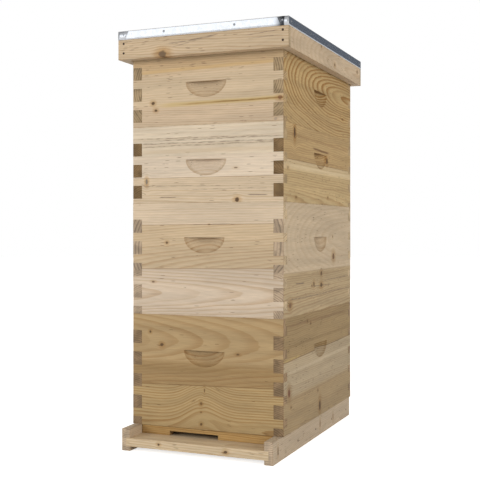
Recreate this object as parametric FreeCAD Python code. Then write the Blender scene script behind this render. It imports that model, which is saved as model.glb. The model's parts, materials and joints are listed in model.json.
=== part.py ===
import FreeCAD, Part
import math
import os
from collections import namedtuple

from FreeCAD import Vector

# An eight-frame beehive of four boxes. Millimetres, +Z up, the entrance faces -Y.
# The origin is on the ground, at the middle of the whole hive's footprint.

# ---- driving dimensions: the boxes, whose width follows from the frames side by side ----
BOX_LENGTH = 505.0
WALL = 22.225
DEEP_HEIGHT = 244.5
MEDIUM_HEIGHT = 168.3
TOP_FINGER = 36.0
DEEP_SIDE_FINGER = 29.3
DEEP_FRONT_FINGER = 18.6
MEDIUM_SIDE_FINGER = 28.3
MEDIUM_FRONT_FINGER = 18.5
REST_DEPTH = 15.9
REST_WIDTH = 9.5

# ---- handholds ----
HOLD_WIDTH = 97.0
HOLD_HEIGHT = 35.0
HOLD_DEPTH = 13.0
HOLD_DROP = 75.0
HIGH_HOLD_DROP = 51.0
DEEP_HOLD_SHIFT = -4.0

# ---- bottom board and entrance reducer ----
RAIL_THICKNESS = 19.05
RAIL_HEIGHT = 47.6
PORCH_LENGTH = 54.0
FLOOR_THICKNESS = 19.05
DADO_DEPTH = 9.5
ENTRANCE_HEIGHT = 19.05
CLEAT_THICKNESS = 19.05
REDUCER_DEPTH = 18.5
REDUCER_CLEARANCE = 0.5
SLOT_WIDTH = 115.6
SLOT_HEIGHT = 9.5
SLOT_CENTRE_X = -28.9
NOTCH_WIDTH = 25.0
NOTCH_DEPTH = 9.5
NOTCH_CENTRE_X = 95.0

# ---- movable frames ----
FRAMES_PER_BOX = 8
FRAME_GAP = 1.6
SIDE_SPACE = 10.375
LUG_THICKNESS = 9.5
LUG_PLAY = 1.65
END_SPACE = 9.6
TOP_BAR_WIDTH = 27.0
TOP_BAR_HEIGHT = 19.0
TOP_BAR_NECK = 22.0
END_BAR_THICKNESS = 9.5
END_BAR_WIDTH = 34.9
END_BAR_WAIST = 28.6
SHOULDER_HEIGHT = 62.0
SHOULDER_TAPER = 12.0
BOTTOM_BAR_WIDTH = 19.0
BOTTOM_BAR_HEIGHT = 9.5
FOUNDATION_THICKNESS = 2.0
DEEP_BOTTOM_SPACE = 6.3
MEDIUM_BOTTOM_SPACE = 3.2

# ---- inner cover ----
INNER_COVER_HEIGHT = 22.2
INNER_RIM_WIDTH = 38.0
PANEL_THICKNESS = 6.35
PANEL_RECESS = 9.5
PANEL_GROOVE = 9.5
FEED_HOLE_LENGTH = 95.0
FEED_HOLE_WIDTH = 32.0

# ---- outer cover ----
COVER_SIDE_GAP = 2.325
COVER_FRONT_GAP = 8.6
COVER_BACK_GAP = 2.7
RIM_THICKNESS = 19.05
RIM_HEIGHT = 43.5
RIM_LAP = 9.5
DECK_THICKNESS = 19.05
SHEET_THICKNESS = 0.5
SHEET_SKIRT = 19.6

# ---- nails ----
NAIL_RADIUS = 1.25
NAIL_HEAD_RADIUS = 2.6
NAIL_HEAD_HEIGHT = 1.0
RAIL_NAIL_LENGTH = 38.0
RAIL_NAIL_COUNT = 5
RAIL_NAIL_INSET = 30.0
RIM_NAIL_LENGTH = 36.0
RIM_NAIL_INSET = 13.0
RIM_NAIL_DEPTHS = (8.5, 29.5)
SHEET_NAIL_LENGTH = 18.0
SHEET_NAIL_DEPTH = 8.0
# Hand-placed, so uneven: each place is a share of the edge, from the left or from the front.
FRONT_SHEET_NAILS = (0.034, 0.282, 0.697, 0.966)
SIDE_SHEET_NAILS = (0.029, 0.260, 0.500, 0.812, 0.975)

# ---- places worked out from the sizes above ----
COVER_REACH = COVER_BACK_GAP + RIM_THICKNESS + SHEET_THICKNESS + NAIL_HEAD_HEIGHT
HIVE_LENGTH = PORCH_LENGTH + BOX_LENGTH + COVER_REACH
FRAME_PITCH = END_BAR_WIDTH + FRAME_GAP
FRAMES_HALF_SPAN = FRAME_PITCH * (FRAMES_PER_BOX - 1) / 2
X_IN = FRAMES_HALF_SPAN + END_BAR_WIDTH / 2 + SIDE_SPACE
X_OUT = X_IN + WALL
RAIL_X = X_IN + RAIL_THICKNESS
Y_PORCH = -HIVE_LENGTH / 2
Y_FRONT = Y_PORCH + PORCH_LENGTH
Y_BACK = Y_FRONT + BOX_LENGTH
Y_MIDDLE = (Y_FRONT + Y_BACK) / 2
Z_FLOOR = RAIL_HEIGHT - ENTRANCE_HEIGHT
Z_FLOOR_UNDER = Z_FLOOR - FLOOR_THICKNESS
COVER_X = X_OUT + COVER_SIDE_GAP + RIM_THICKNESS
COVER_Y_FRONT = Y_FRONT - COVER_FRONT_GAP - RIM_THICKNESS
COVER_Y_BACK = Y_BACK + COVER_BACK_GAP + RIM_THICKNESS

Super = namedtuple(
    "Super",
    "name z height side_finger front_finger bottom_space side_hold_drop hold_shift",
)


def deep_super(name, z):
    """A brood box of full depth, standing at height z."""
    fingers = (DEEP_SIDE_FINGER, DEEP_FRONT_FINGER)
    return Super(name, z, DEEP_HEIGHT, *fingers, DEEP_BOTTOM_SPACE, HOLD_DROP, DEEP_HOLD_SHIFT)


def medium_super(name, z, side_hold_drop):
    """A honey box of medium depth, standing at height z."""
    fingers = (MEDIUM_SIDE_FINGER, MEDIUM_FRONT_FINGER)
    return Super(name, z, MEDIUM_HEIGHT, *fingers, MEDIUM_BOTTOM_SPACE, side_hold_drop, 0.0)


STACK = (
    deep_super("deep_lower", RAIL_HEIGHT),
    deep_super("deep_upper", RAIL_HEIGHT + DEEP_HEIGHT),
    medium_super("medium_lower", RAIL_HEIGHT + 2 * DEEP_HEIGHT, HIGH_HOLD_DROP),
    medium_super("medium_upper", RAIL_HEIGHT + 2 * DEEP_HEIGHT + MEDIUM_HEIGHT, HOLD_DROP),
)
TOP_SUPER = STACK[-1]
Z_INNER = TOP_SUPER.z + TOP_SUPER.height
Z_DECK = Z_INNER + INNER_COVER_HEIGHT


# ---- helpers ----
def block(low, high):
    """A box from its lowest corner to its highest."""
    size = Vector(*high) - Vector(*low)
    return Part.makeBox(size.x, size.y, size.z, Vector(*low))


def mirrored_front_to_back(shape):
    """The same piece at the other end of the boxes."""
    return shape.mirror(Vector(0, Y_MIDDLE, 0), Vector(0, 1, 0))


def mirrored_right_to_left(shape):
    """The same piece on the other side of the hive."""
    return shape.mirror(Vector(0, 0, 0), Vector(1, 0, 0))


def nail(length, at, direction):
    """A round nail whose head lies outside the point `at`, with its shank along `direction`."""
    at = Vector(*at)
    direction = Vector(*direction)
    shank = Part.makeCylinder(NAIL_RADIUS, length, at, direction)
    head = Part.makeCylinder(NAIL_HEAD_RADIUS, NAIL_HEAD_HEIGHT, at, direction * -1)
    return shank.fuse(head).removeSplitter()


def flush_nail(length, at, direction):
    """A nail driven until its head is level with the wood at the point `at`."""
    sunk = Vector(*at) + Vector(*direction) * NAIL_HEAD_HEIGHT
    return nail(length, tuple(sunk), direction)


def evenly(first, last, count):
    """Places spread evenly from the first to the last."""
    step = (last - first) / (count - 1)
    return [first + step * index for index in range(count)]


def without(shape, *cutters):
    """The shape with every cutter taken out of it."""
    return shape.cut(list(cutters))


# ---- boxes ----
def side_fingers(box):
    """The side board's fingers as (top, bottom) depths below the box's top edge."""
    spans = []
    top = TOP_FINGER
    while top < box.height:
        bottom = min(top + box.side_finger, box.height)
        spans.append((top, bottom))
        top = bottom + box.front_finger
    return spans


def hand_scoop():
    """The cutter for a half-moon handhold in a face towards -Y: flat above, rounded below."""
    axis_distance = (HOLD_HEIGHT**2 - HOLD_DEPTH**2) / (2 * HOLD_DEPTH)
    radius = axis_distance + HOLD_DEPTH
    long_radius = radius * HOLD_WIDTH / 2 / HOLD_HEIGHT
    ellipse = Part.Ellipse(Vector(long_radius, 0, 0), Vector(0, radius, 0), Vector(0, 0, 0))
    arc = Part.ArcOfEllipse(ellipse, 0, math.pi).toShape()
    chord = Part.makeLine(Vector(-long_radius, 0, 0), Vector(long_radius, 0, 0))
    profile = Part.Face(Part.Wire([arc, chord]))
    scoop = profile.revolve(Vector(0, 0, 0), Vector(1, 0, 0), -90)
    scoop.translate(Vector(0, -axis_distance, 0))
    return scoop


def front_board(box):
    """An end board: fingers at both ends, a rebate for the frames' lugs, a handhold."""
    top = box.z + box.height
    board = block((-X_OUT, Y_FRONT, box.z), (X_OUT, Y_FRONT + WALL, top))
    rest_y = Y_FRONT + WALL - REST_WIDTH
    rest = block((-X_OUT, rest_y, top - REST_DEPTH), (X_OUT, Y_FRONT + WALL, top))
    sockets = []
    for upper, lower in side_fingers(box):
        socket = block((X_IN, Y_FRONT, top - lower), (X_OUT, Y_FRONT + WALL, top - upper))
        sockets += [socket, mirrored_right_to_left(socket)]
    scoop = hand_scoop()
    scoop.translate(Vector(box.hold_shift, Y_FRONT, top - HOLD_DROP))
    return without(board, rest, scoop, *sockets)


def right_board(box):
    """A side board: fingers and a rebate filler at both ends, a handhold."""
    top = box.z + box.height
    board = block((X_IN, Y_FRONT + WALL, box.z), (X_OUT, Y_BACK - WALL, top))
    rest_y = Y_FRONT + WALL - REST_WIDTH
    additions = [block((X_IN, rest_y, top - REST_DEPTH), (X_OUT, Y_FRONT + WALL, top))]
    for upper, lower in side_fingers(box):
        additions.append(block((X_IN, Y_FRONT, top - lower), (X_OUT, Y_FRONT + WALL, top - upper)))
    additions += [mirrored_front_to_back(piece) for piece in additions]
    scoop = hand_scoop()
    scoop.rotate(Vector(0, 0, 0), Vector(0, 0, 1), 90)
    scoop.translate(Vector(X_OUT, Y_MIDDLE, top - box.side_hold_drop))
    return without(board.fuse(additions).removeSplitter(), scoop)


def box_nodes(box):
    """The four finger-jointed boards of one box."""
    front = front_board(box)
    right = right_board(box)
    return {
        box.name + "_front": front,
        box.name + "_back": mirrored_front_to_back(front),
        box.name + "_right": right,
        box.name + "_left": mirrored_right_to_left(right),
    }


# ---- frames ----
def frame_top(box):
    """The height of a frame's upper face, a bee space below the box's top edge."""
    return box.z + box.height - REST_DEPTH + LUG_THICKNESS


def frame_bottom(box):
    """The height of a frame's lower face."""
    return box.z + box.bottom_space


def top_bar(box):
    """The bar a frame hangs from: necked where it passes through the end bars, with thin lugs."""
    top = frame_top(box)
    under = top - TOP_BAR_HEIGHT
    half = TOP_BAR_WIDTH / 2
    lug_end = Y_FRONT + WALL - REST_WIDTH + LUG_PLAY
    outer = Y_FRONT + WALL + END_SPACE
    inner = outer + END_BAR_THICKNESS
    bar = block((-half, lug_end, under), (half, 2 * Y_MIDDLE - lug_end, top))
    cuts = [block((-half, lug_end, under), (half, outer, top - LUG_THICKNESS))]
    neck = block((TOP_BAR_NECK / 2, outer, under), (half, inner, top))
    cuts += [neck, mirrored_right_to_left(neck)]
    cuts += [mirrored_front_to_back(cut) for cut in cuts]
    return without(bar, *cuts)


def end_bar(box):
    """A self-spacing end bar, wide at its shoulders, notched for the top and bottom bars."""
    top = frame_top(box)
    bottom = frame_bottom(box)
    outer = Y_FRONT + WALL + END_SPACE
    wide = END_BAR_WIDTH / 2
    waist = END_BAR_WAIST / 2
    shoulder = top - SHOULDER_HEIGHT
    right = [(wide, top), (wide, shoulder), (waist, shoulder - SHOULDER_TAPER), (waist, bottom)]
    left = [(-x, z) for x, z in reversed(right)]
    outline = [Vector(x, outer, z) for x, z in right + left + right[:1]]
    bar = Part.Face(Part.makePolygon(outline)).extrude(Vector(0, END_BAR_THICKNESS, 0))
    inner = outer + END_BAR_THICKNESS
    neck = TOP_BAR_NECK / 2
    tail = BOTTOM_BAR_WIDTH / 2
    upper_notch = block((-neck, outer, top - TOP_BAR_HEIGHT), (neck, inner, top))
    lower_notch = block((-tail, outer, bottom), (tail, inner, bottom + BOTTOM_BAR_HEIGHT))
    return without(bar, upper_notch, lower_notch)


def bottom_bar(box):
    """The bar that closes a frame below."""
    outer = Y_FRONT + WALL + END_SPACE
    half = BOTTOM_BAR_WIDTH / 2
    bottom = frame_bottom(box)
    return block((-half, outer, bottom), (half, 2 * Y_MIDDLE - outer, bottom + BOTTOM_BAR_HEIGHT))


def foundation(box):
    """The wax sheet that fills a frame."""
    inner = Y_FRONT + WALL + END_SPACE + END_BAR_THICKNESS
    half = FOUNDATION_THICKNESS / 2
    low = frame_bottom(box) + BOTTOM_BAR_HEIGHT
    high = frame_top(box) - TOP_BAR_HEIGHT
    return block((-half, inner, low), (half, 2 * Y_MIDDLE - inner, high))


def wooden_frame(box, x):
    """The four bars of one frame, standing at x."""
    end = end_bar(box)
    bars = Part.makeCompound([top_bar(box), end, mirrored_front_to_back(end), bottom_bar(box)])
    bars.translate(Vector(x, 0, 0))
    return bars


def filled_frame_sheet(box, x):
    """The wax sheet of the frame at x."""
    sheet = foundation(box)
    sheet.translate(Vector(x, 0, 0))
    return sheet


def frame_places():
    """The frames' middles across the box."""
    return evenly(-FRAMES_HALF_SPAN, FRAMES_HALF_SPAN, FRAMES_PER_BOX)


def hung_frame_nodes(box):
    """All frames of one box in two nodes, one of wood and one of wax."""
    woods = [wooden_frame(box, x) for x in frame_places()]
    waxes = [filled_frame_sheet(box, x) for x in frame_places()]
    return {
        box.name + "_frames": Part.makeCompound(woods),
        box.name + "_foundations": Part.makeCompound(waxes),
    }


def lifting_frame_nodes(box):
    """Each frame of one box in nodes of its own."""
    nodes = {}
    for number, x in enumerate(frame_places(), start=1):
        nodes[f"top_frame_{number}"] = wooden_frame(box, x)
        nodes[f"top_foundation_{number}"] = filled_frame_sheet(box, x)
    return nodes


# ---- bottom board ----
def rail_nails():
    """The nails that hold the floor board's edges in the right rail."""
    places = evenly(Y_PORCH + RAIL_NAIL_INSET, Y_BACK - RAIL_NAIL_INSET, RAIL_NAIL_COUNT)
    middle = Z_FLOOR_UNDER + FLOOR_THICKNESS / 2
    return [flush_nail(RAIL_NAIL_LENGTH, (RAIL_X, y, middle), (-1, 0, 0)) for y in places]


def right_rail(nails):
    """A side rail with a dado for the floor board, open at both ends."""
    rail = block((X_IN, Y_PORCH, 0), (RAIL_X, Y_BACK, RAIL_HEIGHT))
    dado = block((X_IN, Y_PORCH, Z_FLOOR_UNDER), (X_IN + DADO_DEPTH, Y_BACK, Z_FLOOR))
    return without(rail, dado, *nails)


def floor_board(nails):
    """The floor, let into both rails."""
    half = X_IN + DADO_DEPTH
    return without(block((-half, Y_PORCH, Z_FLOOR_UNDER), (half, Y_BACK, Z_FLOOR)), *nails)


def rear_cleat():
    """The strip that closes the gap above the floor at the back."""
    half = X_IN
    return block((-half, Y_BACK - CLEAT_THICKNESS, Z_FLOOR), (half, Y_BACK, RAIL_HEIGHT))


def entrance_reducer():
    """The loose stick in the entrance: a wide slot below and a small notch in its back face."""
    half = X_IN - REDUCER_CLEARANCE
    y_back = Y_FRONT + REDUCER_DEPTH
    stick = block((-half, Y_FRONT, Z_FLOOR), (half, y_back, RAIL_HEIGHT - REDUCER_CLEARANCE))
    slot_left = SLOT_CENTRE_X - SLOT_WIDTH / 2
    slot_right = SLOT_CENTRE_X + SLOT_WIDTH / 2
    slot = block((slot_left, Y_FRONT, Z_FLOOR), (slot_right, y_back, Z_FLOOR + SLOT_HEIGHT))
    notch_left = NOTCH_CENTRE_X - NOTCH_WIDTH / 2
    notch_right = NOTCH_CENTRE_X + NOTCH_WIDTH / 2
    notch = block((notch_left, y_back - NOTCH_DEPTH, Z_FLOOR), (notch_right, y_back, RAIL_HEIGHT))
    return without(stick, slot, notch)


def bottom_board_nodes():
    """The bottom board's pieces and the reducer that stands on it."""
    right_nails = rail_nails()
    left_nails = [mirrored_right_to_left(piece) for piece in right_nails]
    rail = right_rail(right_nails)
    return {
        "rail_right": rail,
        "rail_left": mirrored_right_to_left(rail),
        "floor_board": floor_board(right_nails + left_nails),
        "rear_cleat": rear_cleat(),
        "rail_nails": Part.makeCompound(right_nails + left_nails),
        "entrance_reducer": entrance_reducer(),
    }


# ---- inner cover ----
def inner_panel():
    """The thin board with its oblong feed hole."""
    half_x = X_OUT - INNER_RIM_WIDTH + PANEL_GROOVE
    y_front = Y_FRONT + INNER_RIM_WIDTH - PANEL_GROOVE
    y_back = Y_BACK - INNER_RIM_WIDTH + PANEL_GROOVE
    z_top = Z_DECK - PANEL_RECESS
    panel = block((-half_x, y_front, z_top - PANEL_THICKNESS), (half_x, y_back, z_top))
    radius = FEED_HOLE_WIDTH / 2
    straight = FEED_HOLE_LENGTH / 2 - radius
    z_low = z_top - PANEL_THICKNESS
    hole = block((-radius, Y_MIDDLE - straight, z_low), (radius, Y_MIDDLE + straight, z_top))
    for y in (Y_MIDDLE - straight, Y_MIDDLE + straight):
        hole = hole.fuse(Part.makeCylinder(radius, PANEL_THICKNESS, Vector(0, y, z_low)))
    return without(panel, hole.removeSplitter())


def inner_cover_nodes():
    """The panel and the four strips that are grooved to hold it."""
    panel = inner_panel()
    side_x = X_OUT - INNER_RIM_WIDTH
    front_y = Y_FRONT + INNER_RIM_WIDTH
    solid_panel = panel.BoundBox
    groove = block(
        (solid_panel.XMin, solid_panel.YMin, solid_panel.ZMin),
        (solid_panel.XMax, solid_panel.YMax, solid_panel.ZMax),
    )
    side = without(block((side_x, Y_FRONT, Z_INNER), (X_OUT, Y_BACK, Z_DECK)), groove)
    front = without(block((-side_x, Y_FRONT, Z_INNER), (side_x, front_y, Z_DECK)), groove)
    return {
        "inner_cover_panel": panel,
        "inner_cover_right": side,
        "inner_cover_left": mirrored_right_to_left(side),
        "inner_cover_front": front,
        "inner_cover_back": mirrored_front_to_back(front),
    }


# ---- outer cover ----
def mirrored_cover_end(shape):
    """The same piece at the other end of the outer cover."""
    return shape.mirror(Vector(0, (COVER_Y_FRONT + COVER_Y_BACK) / 2, 0), Vector(0, 1, 0))


def rim_nails():
    """The flush nails through the lapped corners of the rim, two to a corner."""
    x = COVER_X - RIM_NAIL_INSET
    nails = [
        flush_nail(RIM_NAIL_LENGTH, (x, COVER_Y_FRONT, Z_DECK - depth), (0, 1, 0))
        for depth in RIM_NAIL_DEPTHS
    ]
    nails += [mirrored_right_to_left(piece) for piece in nails]
    nails += [mirrored_cover_end(piece) for piece in nails]
    return nails


def sheet_nails():
    """The round-headed nails through the metal's skirt into the deck's edge."""
    z = Z_DECK + DECK_THICKNESS - SHEET_NAIL_DEPTH
    x = COVER_X + SHEET_THICKNESS
    y = COVER_Y_FRONT - SHEET_THICKNESS
    length = COVER_Y_BACK - COVER_Y_FRONT
    front = [
        nail(SHEET_NAIL_LENGTH, (-COVER_X + share * 2 * COVER_X, y, z), (0, 1, 0))
        for share in FRONT_SHEET_NAILS
    ]
    right = [
        nail(SHEET_NAIL_LENGTH, (x, COVER_Y_FRONT + share * length, z), (-1, 0, 0))
        for share in SIDE_SHEET_NAILS
    ]
    return (
        front
        + [mirrored_cover_end(piece) for piece in front]
        + right
        + [mirrored_right_to_left(piece) for piece in right]
    )


def outer_cover_nodes():
    """The telescoping cover: lapped rim, deck, folded metal sheet and nails."""
    low = Z_DECK - RIM_HEIGHT
    inner_x = COVER_X - RIM_THICKNESS
    lap_y = COVER_Y_FRONT + RIM_LAP
    corner_nails = rim_nails()
    skirt_nails = sheet_nails()
    rebate = block((inner_x, lap_y, low), (COVER_X, COVER_Y_FRONT + RIM_THICKNESS, Z_DECK))
    front = block((-COVER_X, COVER_Y_FRONT, low), (COVER_X, COVER_Y_FRONT + RIM_THICKNESS, Z_DECK))
    front = without(front, rebate, mirrored_right_to_left(rebate), *corner_nails)
    right = block((inner_x, lap_y, low), (COVER_X, COVER_Y_BACK - RIM_LAP, Z_DECK))
    right = without(right, *corner_nails)
    z_top = Z_DECK + DECK_THICKNESS
    deck = block((-COVER_X, COVER_Y_FRONT, Z_DECK), (COVER_X, COVER_Y_BACK, z_top))
    sheet_low = z_top + SHEET_THICKNESS - SHEET_SKIRT
    sheet_x = COVER_X + SHEET_THICKNESS
    sheet = block(
        (-sheet_x, COVER_Y_FRONT - SHEET_THICKNESS, sheet_low),
        (sheet_x, COVER_Y_BACK + SHEET_THICKNESS, z_top + SHEET_THICKNESS),
    )
    hollow = block((-COVER_X, COVER_Y_FRONT, sheet_low), (COVER_X, COVER_Y_BACK, z_top))
    return {
        "cover_rim_front": front,
        "cover_rim_back": mirrored_cover_end(front),
        "cover_rim_right": right,
        "cover_rim_left": mirrored_right_to_left(right),
        "cover_deck": without(deck, *skirt_nails),
        "cover_sheet": without(sheet, hollow, *skirt_nails),
        "rim_nails": Part.makeCompound(corner_nails),
        "sheet_nails": Part.makeCompound(skirt_nails),
    }


def hive_nodes():
    """Every node of the hive by name."""
    nodes = bottom_board_nodes()
    for box in STACK:
        nodes.update(box_nodes(box))
    for box in STACK[:-1]:
        nodes.update(hung_frame_nodes(box))
    nodes.update(lifting_frame_nodes(TOP_SUPER))
    nodes.update(inner_cover_nodes())
    nodes.update(outer_cover_nodes())
    return nodes


os.makedirs("parts", exist_ok=True)
for node_name, node_shape in hive_nodes().items():
    node_shape.exportStep(f"parts/{node_name}.step")
    print(node_name, len(node_shape.Solids), node_shape.isValid(), round(node_shape.Volume / 1000, 1))
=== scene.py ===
"""A beehive of four finger-jointed boxes, dressed over its fixed frame.

Every timber is a softened copy of its CAD node with its own planks, rings and knots, the
cover's sheet is folded metal, and the nails are set where the frame has them. Places come
from the frame. Sizes in a finish are in millimetres, measured along the board from its
middle and down from its upper edge.
"""

import json
import logging
import math
import random
from dataclasses import dataclass, field, replace
from enum import Enum

import bmesh
import bpy
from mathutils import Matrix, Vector


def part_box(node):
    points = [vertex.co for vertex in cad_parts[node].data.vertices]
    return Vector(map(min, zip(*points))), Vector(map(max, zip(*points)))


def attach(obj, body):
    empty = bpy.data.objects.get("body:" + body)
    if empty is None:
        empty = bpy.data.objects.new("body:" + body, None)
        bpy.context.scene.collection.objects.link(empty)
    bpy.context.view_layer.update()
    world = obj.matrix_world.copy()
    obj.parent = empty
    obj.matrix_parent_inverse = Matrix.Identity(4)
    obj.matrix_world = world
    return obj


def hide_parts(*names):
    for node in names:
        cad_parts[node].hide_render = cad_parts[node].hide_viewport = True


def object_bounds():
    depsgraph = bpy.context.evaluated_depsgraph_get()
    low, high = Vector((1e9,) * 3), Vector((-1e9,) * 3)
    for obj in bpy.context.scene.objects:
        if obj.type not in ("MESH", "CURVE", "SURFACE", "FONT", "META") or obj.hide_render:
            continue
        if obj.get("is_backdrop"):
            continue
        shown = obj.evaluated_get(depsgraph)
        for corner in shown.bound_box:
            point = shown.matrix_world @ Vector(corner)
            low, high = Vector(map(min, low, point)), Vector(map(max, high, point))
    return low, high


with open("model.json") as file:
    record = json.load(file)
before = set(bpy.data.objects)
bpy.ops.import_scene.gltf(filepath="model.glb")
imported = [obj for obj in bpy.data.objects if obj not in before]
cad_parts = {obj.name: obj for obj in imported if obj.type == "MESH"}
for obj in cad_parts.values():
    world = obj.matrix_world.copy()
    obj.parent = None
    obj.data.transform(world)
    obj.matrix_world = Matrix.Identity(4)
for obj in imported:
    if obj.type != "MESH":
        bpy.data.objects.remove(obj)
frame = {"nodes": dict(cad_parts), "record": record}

LOG = logging.getLogger("beehive")
MM = 0.001

MERGE_GAP = 2e-6
FLAT_ANGLE = 0.4
FACET_ANGLE = 12
ARRIS_ANGLE = 40
FOLD_ANGLE = 32
BELL_BASE = 2.718

Tone = tuple[float, float, float]
Socket = bpy.types.NodeSocket
Sockets = bpy.types.bpy_prop_collection
Feed = Socket | bpy.types.ID | float | tuple | Vector
Setting = str | int | float | bool | bpy.types.ID

# What the bare wood's colour is multiplied by in each kind of mark, and by the painted shade inside a
# handhold.
LATE_STAIN: Tone = (0.64, 0.48, 0.3)
# Painted shade: the tint inside a handhold and under its lip.
SCOOP_SHADE_TINT: Tone = (0.66, 0.57, 0.46)
FLECK_STAIN: Tone = (0.26, 0.19, 0.14)
HALO_STAIN: Tone = (0.72, 0.54, 0.3)
LINE_STAIN: Tone = (0.42, 0.33, 0.25)
WORN_STAIN: Tone = (0.74, 0.68, 0.6)
WORN_WIDTH = 0.0016


# ---- node trees ----
class Graph:
    """A node tree, with short calls that add its nodes and join them."""

    def __init__(self, tree: bpy.types.NodeTree) -> None:
        """Keeps the tree."""
        self.tree = tree

    def feed(self, socket: Socket, value: Feed) -> None:
        """Joins a socket to another one, or sets its value.

        Args:
            socket: The input.
            value: An output to join to it, or the value to set.
        """
        if isinstance(value, bpy.types.NodeSocket):
            self.tree.links.new(value, socket)
        elif socket.type == "RGBA" and len(value) == 3:
            socket.default_value = (*value, 1.0)
        else:
            socket.default_value = value

    def put(
        self, kind: str, feeds: dict[str | int, Feed] | None = None, **settings: Setting
    ) -> bpy.types.Node:
        """Adds a node.

        Args:
            kind: The node's type.
            feeds: What goes into its inputs, by name or number.
            **settings: The node's own properties.

        Returns:
            The node.
        """
        node = self.tree.nodes.new(kind)
        for name, value in settings.items():
            setattr(node, name, value)
        for key, value in (feeds or {}).items():
            self.feed(node.inputs[key], value)
        return node

    def maths(self, operation: str, *feeds: Feed) -> Socket:
        """The result of a Math node."""
        return self.put("ShaderNodeMath", dict(enumerate(feeds)), operation=operation).outputs[0]

    def vector(self, operation: str, *feeds: Feed) -> Socket:
        """The vector that comes out of a Vector Math node."""
        return self.put("ShaderNodeVectorMath", dict(enumerate(feeds)), operation=operation).outputs[0]

    def split(self, vector: Socket) -> tuple[Socket, Socket, Socket]:
        """The three parts of a vector."""
        return tuple(self.put("ShaderNodeSeparateXYZ", {0: vector}).outputs)

    def rise(self, value: Feed, low: Feed, high: Feed, start: float = 0.0, end: float = 1.0) -> Socket:
        """A smooth step.

        Args:
            value: What is stepped.
            low: Where the step begins.
            high: Where it is complete.
            start: The result below the step.
            end: The result above it.

        Returns:
            The stepped value.
        """
        feeds = {0: value, 1: low, 2: high, 3: start, 4: end}
        return self.put("ShaderNodeMapRange", feeds, interpolation_type="SMOOTHSTEP").outputs[0]

    def mix(self, share: Feed, first: Feed, second: Feed) -> Socket:
        """A number between two others."""
        return self.put("ShaderNodeMix", {0: share, 2: first, 3: second}, data_type="FLOAT").outputs[0]

    def tint(self, share: Feed, first: Feed, second: Feed, how: str = "MIX") -> Socket:
        """One colour laid over another.

        Args:
            share: How much of the second shows.
            first: The colour below.
            second: The colour above.
            how: The way they blend.

        Returns:
            The blended colour.
        """
        feeds = {0: share, 6: first, 7: second}
        return self.put("ShaderNodeMix", feeds, data_type="RGBA", blend_type=how).outputs[2]

    def shade(self, colour: Feed, value: Socket, low: float, high: float, start: float, end: float) -> Socket:
        """A colour made darker or lighter as a value rises.

        Args:
            colour: The colour.
            value: The value.
            low: Where the change begins.
            high: Where it is complete.
            start: What the colour is multiplied by below the change.
            end: What it is multiplied by above it.

        Returns:
            The shaded colour.
        """
        return self.tint(1.0, colour, self.rise(value, low, high, start, end), "MULTIPLY")

    def noise(self, place: Socket, stretch: tuple, detail: float = 2.0) -> Socket:
        """Smooth noise between 0 and 1.

        Args:
            place: Where it is read, in millimetres.
            stretch: The size of its lumps along each axis, in millimetres.
            detail: How many finer layers it has.

        Returns:
            The noise.
        """
        scaled = self.vector("DIVIDE", place, stretch)
        return self.lumps(scaled, 1.0, detail)

    def lumps(self, place: Socket, scale: float, detail: float) -> Socket:
        """Smooth noise that is as fine along every axis."""
        return self.put("ShaderNodeTexNoise", {"Vector": place, "Scale": scale, "Detail": detail}).outputs[0]

    def bump(self, shader: bpy.types.Node, height: Socket, strength: float, distance: float) -> None:
        """Gives a shader the small relief of its surface.

        Args:
            shader: The shader.
            height: How high each point stands.
            strength: How much of it shows.
            distance: What a height of one stands for, in metres.
        """
        feeds = {"Height": height, "Strength": strength, "Distance": distance}
        self.feed(shader.inputs["Normal"], self.put("ShaderNodeBump", feeds).outputs[0])


class Effect:
    """A shader node group that is built once and placed in several materials."""

    name = ""
    takes: dict[str, str] = {}
    gives: dict[str, str] = {}

    def __init__(self) -> None:
        """Makes the group with its named inputs and outputs."""
        self.tree = bpy.data.node_groups.new(self.name, "ShaderNodeTree")
        for name, kind in self.takes.items():
            self.tree.interface.new_socket(name, in_out="INPUT", socket_type=kind)
        for name, kind in self.gives.items():
            self.tree.interface.new_socket(name, in_out="OUTPUT", socket_type=kind)
        graph = Graph(self.tree)
        inlets = graph.put("NodeGroupInput").outputs
        outlets = graph.put("NodeGroupOutput").inputs
        self.build(graph, inlets, outlets)

    def build(self, graph: Graph, inlets: Sockets, outlets: Sockets) -> None:
        """Fills the group; each effect has its own."""
        raise NotImplementedError

    def place(self, graph: Graph, feeds: dict[str, Feed]) -> Sockets:
        """Puts the group into a material.

        Args:
            graph: The material's graph.
            feeds: What goes into its inputs.

        Returns:
            The node's outputs.
        """
        return graph.put("ShaderNodeGroup", feeds, node_tree=self.tree).outputs


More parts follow.
